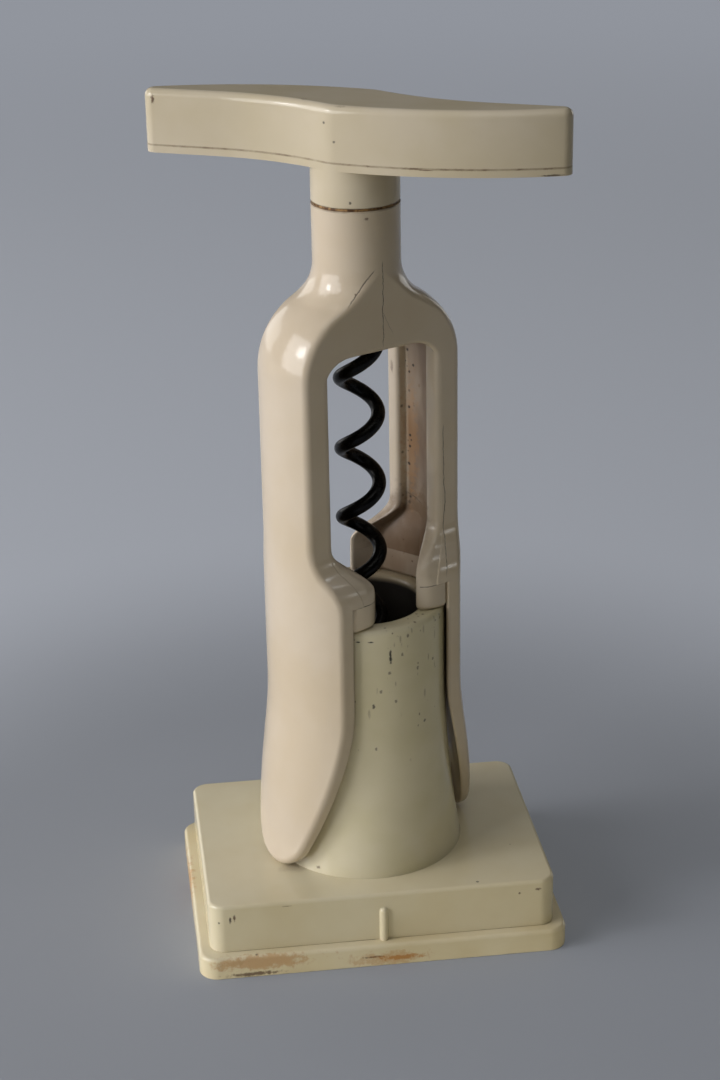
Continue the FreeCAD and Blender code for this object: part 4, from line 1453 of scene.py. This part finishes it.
    def moulding_finish(self) -> IvoryPlastic:
        """The yoke's plastic, with its cracks, the stain that corks have left in its window, and painted shade low
        in that window and inside its skirts.
        """
        face = (0, 1, 0)
        crown = -self.crown_half
        return IvoryPlastic(
            "Yoke ivory", self.fresh, self.aged, self.amount,
            marks=(
                CorkStain(CORK_BROWN_AND_SHADE, 0.9),
                # Painted shade inside the skirts, below the rim's level.
                DepthShade(BROWN, 0.6, radius=16.3, level=self.rim_level, soft=0.6, edge=1.0, dull=1.2),
                # Painted shade low inside the right leg's window.
                StainAndShade(SHADE_AND_SEAM_BROWN, 0.7, centre=(13.9, 0, 76), reach=(5, 8, 12), ragged=1.0),
                # Cork brown stain with painted shade, low inside the right leg.
                StainAndShade(CORK_BROWN_AND_SHADE, 0.6, centre=(11.5, 3, 75), reach=(9, 12, 11), ragged=0.8),
                StainAndShade(RUST, 0.3, centre=(13.9, 3.0, 94), reach=(3, 2.4, 15), ragged=2.2, grain=0.9),
                StainAndShade(BROWN, 0.6, centre=(11.6, 6.0, 107.7), reach=(1, 0.6, 1.6), ragged=2.0, grain=1.6),
                StainAndShade(SOOT, 0.9, centre=(6.0, 12.7, 70.7), reach=(1.1, 1.2, 0.35), ragged=2.0, grain=2.0),
                StainAndShade(BROWN, 0.7, centre=(-2.75, -7.5, 141.3), reach=(0.5, 0.5, 0.35), ragged=2.0, grain=2.4),
                Specks(SOOT, 0.95, centre=(13.6, 3.3, 92), reach=(4, 2.6, 16), spacing=1.2, share=0.6, size=0.42),
                Specks(SOOT, 0.9, centre=(13.6, 3.2, 110), reach=(4, 2.6, 9), spacing=1.2, share=0.45, size=0.36),
                Crack(SOOT, 0.9, 0.08, start=(0.15, crown, 133), end=(0.0, crown, 117.5), wall=face, wander=0.8),
                Crack(SOOT, 0.6, 0.04, start=(0.1, crown, 124), end=(2.2, crown, 119.5), wall=face, width=0.06),
                Crack(SOOT, 0.7, 0.04, start=(-1.6, -7.8, 131.8), end=(-7.2, -7.7, 126.0), wall=face, width=0.14),
                Crack(SOOT, 0.85, 0.06, start=(13.1, crown, 99.5), end=(13.6, crown, 82), wall=face, wander=0.9),
                Crack(SOOT, 0.85, 0.06, start=(13.6, crown, 83.5), end=(12.5, -9.6, 76.8), wall=(0, 6.3, -1.4)),
                Crack(SOOT, 0.85, 0.06, start=(12.8, -9.1, 78), end=(10.5, -12.6, 71.4), wall=(0, 5.1, -3.1)),
                Crack(SOOT, 0.85, 0.06, start=(13.2, 4.1, 82.6), end=(13.98, -0.2, 81.2), wall=(1, 0.2, 0)),
                SeamDirt(BROWN, 0.45, level=self.neck_level, width=0.25, breaks=0.4),
                Specks(BROWN, 0.7, spacing=6, share=0.14, size=0.22),
            ),
        )

    def stop_finish(self, label: str) -> IvoryPlastic:
        """A lip stop's plastic, with dirt at its seams and the corks' brown inside."""
        front = -self.skirt_half
        return IvoryPlastic(
            f"Lip stop ivory {label}", self.fresh, self.aged, self.amount,
            marks=(
                CorkStain(CORK_BROWN_AND_SHADE, 0.8),
                SeamDirt(SOOT, 0.9, level=self.rim_level + 0.1, width=0.12, breaks=0.2),
                *(Crack(SOOT, 0.9, start=(start, front, self.seam_level), end=(end, front, self.seam_level),
                        wall=(0, 1, 0), width=0.2, wander=0.1) for start, end in ((-9.6, -3.8), (3.8, 9.6))),
                Specks(BROWN, 0.7, spacing=1.8, share=0.2, size=0.25),
            ),
        )


@dataclass
class Collar:
    """The washer between the yoke's neck and the handle's stem."""

    outer: float = 7.65
    inner: float = 5.6
    edge: float = 0.12
    edge_steps: int = 3
    steps: int = 96

    def build(self) -> None:
        """Build and dress the washer."""
        low, high = (corner.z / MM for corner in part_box("thrust_washer"))
        rounded = [
            *arc((self.outer - self.edge, low + self.edge), self.edge, -90, 0, self.edge_steps),
            *arc((self.outer - self.edge, high - self.edge), self.edge, 0, 90, self.edge_steps),
            (self.inner, high),
            (self.inner, low),
        ]
        mould = Moulding()
        mould.lathe(rounded, self.steps)
        washer = Piece("neck_washer", Body.CARRIER, Slot.WASHER, ("thrust_washer",))
        washer.place(mould.finish(washer.name), GrimyWasher().material())


@dataclass
class Handle:
    """The S-shaped handle with its stem, and the strips that close its two arms from below."""

    turn: float = -51.45
    hub_radius: float = 8.0
    half_length: float = 39.0
    tip_radius: float = 2.0
    outer_curve: float = 72.0
    inner_curve: float = 47.0
    edge_start: float = 2.0
    top_round: float = 1.4
    seam_edge: float = 0.22
    lower_edge: float = 0.35
    stem_edge: float = 0.25
    seam_level: float = 151.1
    stem_level: float = 143.2
    fresh: Colour = srgb(217, 205, 184)
    aged: Colour = srgb(204, 190, 158)
    outer_steps: int = 44
    tip_steps: int = 14
    inner_steps: int = 34
    hub_steps: int = 56
    bridge_steps: int = 10
    top_steps: int = 6
    edge_steps: int = 3
    seam_steps: int = 2
    hub: Vector = field(init=False)
    tip: Vector = field(init=False)
    outer_centre: Vector = field(init=False)
    inner_centre: Vector = field(init=False)

    def __post_init__(self) -> None:
        """Place the centres of the plan's arcs so that each touches the next."""
        self.hub = Vector((0, 0))
        self.tip = Vector((self.half_length - self.tip_radius, 0))
        hub_reach = self.outer_curve - self.hub_radius
        tip_reach = self.outer_curve - self.tip_radius
        x = (self.tip.x**2 + hub_reach**2 - tip_reach**2) / (2 * self.tip.x)
        self.outer_centre = Vector((x, math.sqrt(hub_reach**2 - x**2)))
        y = self.inner_curve + self.tip_radius
        self.inner_centre = Vector((math.sqrt((self.inner_curve + self.hub_radius) ** 2 - y**2), y))

    def build(self) -> None:
        """Build and dress the handle and its two strips."""
        shell = Piece("handle_body", Body.SCREW, Slot.HANDLE, ("handle_shell",))
        shell.place(self.make_shell(shell.name), self.shell_finish().material())
        for side in Side:
            label = side.name.lower()
            strip = Piece(f"handle_strip_{label}", Body.SCREW, Slot.HANDLE, (f"handle_cover_{label}",))
            strip.place(self.make_strip(strip.name, side), self.strip_finish(label).material())

    def arm(self, outer_start: float, inner_end: float) -> list[Pair]:
        """The outline of the right arm, from its outer arc round the tip to its inner arc.

        Args:
            outer_start: The bearing from the outer arc's centre at which the outline starts.
            inner_end: The bearing from the inner arc's centre at which it ends.

        Returns:
            The outline's points.
        """
        outer_end = bearing(self.outer_centre, self.tip)
        return [
            *arc(self.outer_centre, self.outer_curve, outer_start, outer_end, self.outer_steps),
            *arc(self.tip, self.tip_radius, outer_end, 90, self.tip_steps)[1:],
            *arc(self.inner_centre, self.inner_curve, -90, inner_end, self.inner_steps),
        ]

    def make_shell(self, name: str) -> bpy.types.Object:
        """Make the handle: the plan drawn up from the seam, and the stem drawn down from its hub.

        Args:
            name: The piece's name.

        Returns:
            The object.
        """
        bottom, top = (corner.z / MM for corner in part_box("handle_shell"))
        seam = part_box("handle_cover_right")[1].z / MM
        outer_start = bearing(self.outer_centre, self.hub)
        inner_end = bearing(self.inner_centre, self.hub)
        right = self.arm(outer_start, inner_end)
        hub_out = -180 + bearing(self.hub, self.outer_centre)
        hub_in = bearing(self.hub, self.inner_centre)
        bridge = arc(self.hub, self.hub_radius, hub_in, hub_out + 180, self.bridge_steps)[1:-1]
        within = arc(self.hub, self.hub_radius, hub_in, hub_out, self.hub_steps)[1:-1]
        mould = Moulding()
        new = mould.bm.verts.new
        loops = {
            sign: [[new((sign * x, sign * y, seam)) for x, y in points] for points in (right, bridge, within)]
            for sign in (1, -1)
        }
        arms = [mould.bm.faces.new([*loops[sign][0], *loops[sign][2]]) for sign in (1, -1)]
        ring = []
        for sign in (1, -1):
            edge_in, edge_out = loops[sign][0][-1], loops[-sign][0][0]
            ring += [*reversed([edge_in, *loops[sign][2], loops[sign][0][0]]), *loops[sign][1], edge_out][:-1]
        hub = mould.bm.faces.new(ring)
        lifted = mould.extrude([*arms, hub], UP * (top - seam))
        hub = min(mould.level_faces(seam), key=lambda face: face.calc_center_bounds().xy.length)
        stem = mould.extrude([hub], UP * (bottom - seam))
        upper = bmesh.ops.dissolve_faces(mould.bm, faces=lifted, use_verts=False)["region"]
        mould.soften([edge for face in upper for edge in face.edges], self.top_round, self.top_steps)
        mould.soften([edge for face in stem for edge in face.edges], self.stem_edge, self.edge_steps)
        mould.turned(self.turn)
        return mould.finish(name)

    def make_strip(self, name: str, side: Side) -> bpy.types.Object:
        """Make the strip under one arm, which starts where the arm leaves the hub.

        Args:
            name: The piece's name.
            side: The arm.

        Returns:
            The object.
        """
        low, high = (corner.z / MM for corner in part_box(f"handle_cover_{side.name.lower()}"))
        outline = self.arm(bearing(self.outer_centre, self.hub), bearing(self.inner_centre, self.hub))
        hub_in = bearing(self.hub, self.inner_centre)
        hub_out = bearing(self.hub, self.outer_centre) - 180
        back = arc(self.hub, self.hub_radius, hub_in, hub_out, self.hub_steps)[1:-1]
        sign = side.value
        mould = Moulding()
        plate = mould.face(Vector((sign * x, sign * y, low)) for x, y in [*outline, *back])
        mould.extrude([plate], UP * (high - low))
        away = self.hub_radius + self.edge_start
        rounds = ((low, self.lower_edge, self.edge_steps), (high, self.seam_edge, self.seam_steps))
        for height, width, steps in rounds:
            edges = mould.creases(SHARP, lambda place: abs(place.z - height) < TOUCH and place.xy.length > away)
            mould.soften(edges, width, steps)
        mould.turned(self.turn)
        return mould.finish(name)

    def shell_finish(self) -> IvoryPlastic:
        """The handle's plastic, with specks along its edges and dirt at its seam."""
        speck = {"ragged": 2.0, "grain": 2.4}
        return IvoryPlastic(
            "Handle ivory", self.fresh, self.aged, amount=0.6, turn=-self.turn,
            marks=(
                SeamDirt(SHADE_AND_SEAM_BROWN, 0.7, level=self.seam_level, width=0.3, breaks=0.0),
                SeamDirt(BROWN, 0.6, level=self.seam_level, width=0.22, breaks=0.75),
                SeamDirt(BROWN, 0.6, level=self.stem_level, width=0.2, breaks=0.5),
                StainAndShade(BROWN, 0.9, centre=(-36.9, -2, 159.3), reach=(0.4, 0.8, 0.9), **speck),
                StainAndShade(BROWN, 0.7, centre=(-7.9, -3.6, 161.1), reach=(0.6, 0.5, 0.4), **speck),
                StainAndShade(BROWN, 0.3, centre=(-0.2, -7.3, 161.0), reach=(1.2, 0.4, 0.35), **speck),
                StainAndShade(SOOT, 0.8, centre=(-3.2, -7.3, 158.0), reach=(0.35, 0.6, 0.35), **speck),
                StainAndShade(SOOT, 0.7, centre=(-1.2, -7.9, 154.9), reach=(0.3, 0.6, 0.3), **speck),
                StainAndShade(SOOT, 0.8, centre=(1.5, -7.9, 144.3), reach=(0.35, 0.6, 0.35), **speck),
                Specks(BROWN, 0.75, spacing=5, share=0.16, size=0.22),
            ),
        )

    def strip_finish(self, label: str) -> IvoryPlastic:
        """A strip's plastic, dirty along its seam."""
        return IvoryPlastic(
            f"Strip ivory {label}", self.fresh, self.aged, amount=0.7, turn=-self.turn,
            marks=(
                SeamDirt(SHADE_AND_SEAM_BROWN, 0.7, level=self.seam_level, width=0.3, breaks=0.0),
                SeamDirt(BROWN, 0.7, level=self.seam_level, width=0.25, breaks=0.75),
                StainAndShade(BROWN, 0.8, centre=(15.1, -8.1, 150.9), reach=(1.6, 1, 0.16), ragged=1.8, grain=1.8),
                StainAndShade(GRIME, 0.8, centre=(36, -2.6, 149.9), reach=(3, 1.5, 0.2), ragged=2.0, grain=1.4),
                Specks(BROWN, 0.7, spacing=4, share=0.2, size=0.25),
            ),
        )


@dataclass
class Screw:
    """The coated wire: sharpened point, right-handed coil, bend and straight shank."""

    wire_radius: float = 1.3
    coil_radius: float = 3.48
    pitch: float = 13.733
    phase: float = 153.3
    coil_low: float = 22.0
    coil_high: float = 139.0
    point_length: float = 3.6
    point_end: float = 0.15
    bend: float = 4.2
    point_fullness: float = 1.35
    wire_steps: int = 24
    turn_steps: int = 48
    bend_steps: int = 12
    point_steps: int = 8

    def build(self) -> None:
        """Build and dress the screw."""
        screw = Piece("coated_screw", Body.SCREW, Slot.SCREW, ("worm",))
        screw.place(self.make_wire(screw.name), CoatedSteel().material())

    def make_wire(self, name: str) -> bpy.types.Object:
        """Sweep the wire's circle down to its point and up round the coil into the shank.

        Args:
            name: The piece's name.

        Returns:
            The object.
        """
        mould = Moulding()
        azimuth = math.radians(math.degrees(math.tau) * self.coil_low / self.pitch + self.phase)
        outward = Vector((math.cos(azimuth), math.sin(azimuth), 0))
        around = UP.cross(outward)
        climb = self.pitch / math.tau
        heading = (around * self.coil_radius + UP * climb).normalized()
        start = outward * self.coil_radius + UP * self.coil_low
        place = Matrix.Translation(start) @ heading.to_track_quat("Z", "Y").to_matrix().to_4x4()
        circle = bmesh.ops.create_circle(mould.bm, cap_ends=False, radius=self.wire_radius,
                                         segments=self.wire_steps, matrix=place)
        first = list({edge for vert in circle["verts"] for edge in vert.link_edges})
        height = self.coil_high - self.coil_low
        turned = math.tau * height / self.pitch
        steps = round(self.turn_steps * turned / math.tau)
        edges = mould.spin(first, turned, steps, rise=height)
        spun = Matrix.Rotation(turned, 3, "Z")
        sideways = spun @ around
        lean = math.asin(heading.z)
        top = spun @ (outward * self.coil_radius) + UP * self.coil_high
        into = UP * math.cos(lean) - sideways * math.sin(lean)
        edges = mould.spin(edges, math.pi / 2 - lean, self.bend_steps, centre=top + into * self.bend,
                           axis=sideways.cross(UP))
        shank_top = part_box("worm")[1].z / MM
        level = max(vert.co.z for edge in edges for vert in edge.verts)
        edges = mould.extrude_edges(edges, UP * (shank_top - level))
        bmesh.ops.contextual_create(mould.bm, geom=edges)
        self.sharpen(mould, first, start, heading)
        return mould.finish(name, sharp_from=50)

    def sharpen(self, mould: Moulding, edges: Sequence[BMEdge], start: Vector, heading: Vector) -> None:
        """Draw the wire's lower end out into a point, fuller near the wire than a cone.

        Args:
            mould: The mesh.
            edges: The circle at the lower end.
            start: The circle's middle.
            heading: The direction of the wire there, away from the point.
        """
        radius = self.wire_radius
        for step in range(1, self.point_steps + 1):
            share = step / self.point_steps
            wanted = self.point_end + (self.wire_radius - self.point_end) * (1 - share**self.point_fullness)
            edges = mould.extrude_edges(edges, -heading * self.point_length / self.point_steps)
            verts = list({vert for edge in edges for vert in edge.verts})
            middle = start - heading * self.point_length * share
            scale = (wanted / radius,) * 3
            bmesh.ops.scale(mould.bm, vec=scale, space=Matrix.Translation(-middle), verts=verts)
            radius = wanted
        bmesh.ops.contextual_create(mould.bm, geom=edges)


# Surroundings


@dataclass(frozen=True)
class Lamp:
    """A rectangular soft light that faces a point on the object: angles in degrees, lengths in metres."""

    name: str
    bearing: float
    height: float
    distance: float
    wide: float
    tall: float
    watts: float
    colour: Triple

    def hang(self, target: Vector) -> None:
        """Add the lamp to the scene.

        Args:
            target: The point that it faces.
        """
        light = bpy.data.lights.new(self.name, "AREA")
        light.shape = "RECTANGLE"
        light.size, light.size_y = self.wide, self.tall
        light.energy = self.watts
        light.color = self.colour
        lamp = bpy.data.objects.new(self.name, light)
        turn, rise = math.radians(self.bearing), math.radians(self.height)
        away = Vector((math.cos(turn) * math.cos(rise), math.sin(turn) * math.cos(rise), math.sin(rise)))
        lamp.location = target + away * self.distance
        lamp.rotation_euler = away.to_track_quat("Z", "Y").to_euler()
        bpy.context.scene.collection.objects.link(lamp)


@dataclass
class Studio:
    """The camera, floor, lamps and world.

    Angles are in degrees. The camera's lengths are in millimetres, the floor's and the lamps' in metres.
    """

    azimuth: float = -33.89
    elevation: float = 23.193
    roll: float = -1.060
    distance: float = 430.8
    lens: float = 76.26
    sensor: float = 36.0
    aim_right: float = -0.31
    aim_height: float = 77.25
    near_clip: float = 0.01
    floor_reach: float = 8.0
    floor_colour: Colour = srgb(190, 195, 206)
    floor_bounce: Colour = srgb(250, 245, 222)
    floor_away: Colour = srgb(70, 68, 62)
    bounce_from: Triple = (-0.13, -0.05, 0)
    bounce_near: float = 0.13
    bounce_far: float = 0.33
    floor_roughness: float = 0.9
    floor_shine: float = 0.2
    floor_lift: float = 0.14
    near_lift: float = 0.10
    near_shade: float = 0.56
    near_start: float = 0.08
    near_end: float = 0.19
    far_lift: float = 0.52
    far_shade: float = 0.06
    far_start: float = 0.45
    far_end: float = 1.0
    room_colour: Colour = (1.0, 0.98, 0.86, 1.0)
    room_light: float = 0.01
    lamps: tuple[Lamp, ...] = (
        Lamp("Window light", 165, 18, 1.3, 1.2, 0.95, 14.2, (1.0, 0.985, 0.985)),
        Lamp("Window pane", 163, 24, 1.28, 0.22, 0.26, 2.2, (1.0, 1.0, 1.0)),
        Lamp("Soft box", 222, 38, 2.2, 1.5, 1.2, 1.5, (0.98, 0.985, 0.82)),
        Lamp("Skylight", 250, 57, 2.0, 1.2, 0.12, 2.0, (1.0, 1.0, 0.95)),
        Lamp("Ceiling", 190, 84, 2.0, 1.6, 1.6, 3.8, (1.0, 1.0, 0.95)),
        Lamp("Back cloth", 58, 32, 2.0, 1.6, 0.8, 1.0, (1.0, 1.0, 1.0)),
        Lamp("Left rear fill", 102, 10, 2.2, 1.2, 0.8, 5.0, (1.0, 0.99, 0.96)),
        Lamp("Right rear fill", 12, 8, 2.2, 1.0, 0.8, 3.5, (1.0, 0.99, 0.96)),
        Lamp("Far window top", 306, 39, 1.5, 0.05, 0.16, 0.29, (1.0, 1.0, 1.0)),
        Lamp("Far window sill", 304, 14, 1.5, 0.05, 0.16, 0.27, (1.0, 1.0, 1.0)),
    )

    def build(self) -> None:
        """Add everything round the object."""
        self.add_floor()
        self.add_world()
        target = Vector((0, 0, self.aim_height)) * MM
        for lamp in self.lamps:
            lamp.hang(target)
        self.add_camera()
        bpy.context.scene.view_settings.view_transform = "Standard"
        LOG.info("studio: %d lamps", len(self.lamps))

    def add_floor(self) -> None:
        """Lay the plain pale floor.

        To the camera and in reflections it carries a painted shade, a little darker near the object, and turns to
        an even light far away. The light that it throws back on the object is set apart from that: there its
        colour is a painted pool of light, bright round a point to the left of the object and falling to a dark
        tone farther off.
        """
        mesh = bpy.data.meshes.new("Floor")
        bm = bmesh.new()
        bmesh.ops.create_grid(bm, x_segments=1, y_segments=1, size=self.floor_reach)
        bm.to_mesh(mesh)
        bm.free()
        floor = bpy.data.objects.new("Floor", mesh)
        bpy.context.scene.collection.objects.link(floor)
        finish, graph, shader = new_finish("Plain floor")
        path = graph.add("ShaderNodeLightPath")
        seen = graph.sum("MAXIMUM", path.outputs["Is Camera Ray"], path.outputs["Is Glossy Ray"])
        place = graph.add("ShaderNodeTexCoord").outputs["Object"]
        # Painted pool of light for the light thrown back: bright round bounce_from, dark beyond bounce_far.
        off = graph.fade(graph.vector("DISTANCE", place, self.bounce_from), self.bounce_near, self.bounce_far)
        bounce = graph.blend(off, self.floor_bounce, self.floor_away)
        away = graph.vector("LENGTH", place)
        far = graph.fade(away, self.far_start, self.far_end)
        # Painted shade: the floor that the camera sees darkens near the object.
        middle = graph.fade(away, self.near_start, self.near_end)
        near_colour, far_colour = (
            (*(value * shade for value in self.floor_colour[:3]), 1.0)
            for shade in (self.near_shade, self.far_shade)
        )
        shown = graph.blend(far, graph.blend(middle, near_colour, self.floor_colour), far_colour)
        graph.feed(shader.inputs["Base Color"], graph.blend(seen, bounce, shown))
        graph.feed(shader.inputs["Emission Color"], self.floor_colour)
        lift = graph.sum("ADD", graph.sum("MULTIPLY", far, self.far_lift - self.floor_lift), self.near_lift)
        lift = graph.sum("ADD", graph.sum("MULTIPLY", middle, self.floor_lift - self.near_lift), lift)
        graph.feed(shader.inputs["Emission Strength"], graph.sum("MULTIPLY", seen, lift))
        shader.inputs["Roughness"].default_value = self.floor_roughness
        shader.inputs["Specular IOR Level"].default_value = self.floor_shine
        mesh.materials.append(finish)

    def add_world(self) -> None:
        """Show the camera the far floor's colour, and fill the room with a dim, slightly warm light."""
        world = bpy.data.worlds.new("Room")
        world.use_nodes = True
        graph = Graph(world.node_tree)
        background = world.node_tree.nodes["Background"]
        seen = graph.add("ShaderNodeLightPath").outputs["Is Camera Ray"]
        graph.feed(background.inputs["Color"], graph.blend(seen, self.room_colour, self.floor_colour))
        strength = graph.sum("ADD", graph.sum("MULTIPLY", seen, self.far_lift - self.room_light), self.room_light)
        graph.feed(background.inputs["Strength"], strength)
        bpy.context.scene.world = world

    def add_camera(self) -> None:
        """Stand the camera where the photograph was taken from."""
        turn, rise, roll = (math.radians(angle) for angle in (self.azimuth, self.elevation, self.roll))
        back = Vector((math.sin(turn) * math.cos(rise), -math.cos(turn) * math.cos(rise), math.sin(rise)))
        right = Vector((math.cos(turn), math.sin(turn), 0))
        up = back.cross(right)
        target = right * self.aim_right + UP * self.aim_height
        rolled_right = right * math.cos(roll) + up * math.sin(roll)
        rolled_up = up * math.cos(roll) - right * math.sin(roll)
        axes = Matrix((rolled_right, rolled_up, back)).transposed().to_4x4()
        lens = bpy.data.cameras.new("Camera")
        lens.lens = self.lens
        lens.sensor_width = self.sensor
        lens.clip_start = self.near_clip
        camera = bpy.data.objects.new("Camera", lens)
        camera.matrix_world = Matrix.Translation((target + back * self.distance) * MM) @ axes
        bpy.context.scene.collection.objects.link(camera)
        bpy.context.scene.camera = camera


def main() -> None:
    """Build the sub-assemblies in order and light them."""
    logging.basicConfig(level=logging.INFO, format="%(name)s: %(message)s")
    Stand().build()
    Yoke().build()
    Collar().build()
    Handle().build()
    Screw().build()
    Studio().build()


if __name__ == "__main__":
    main()
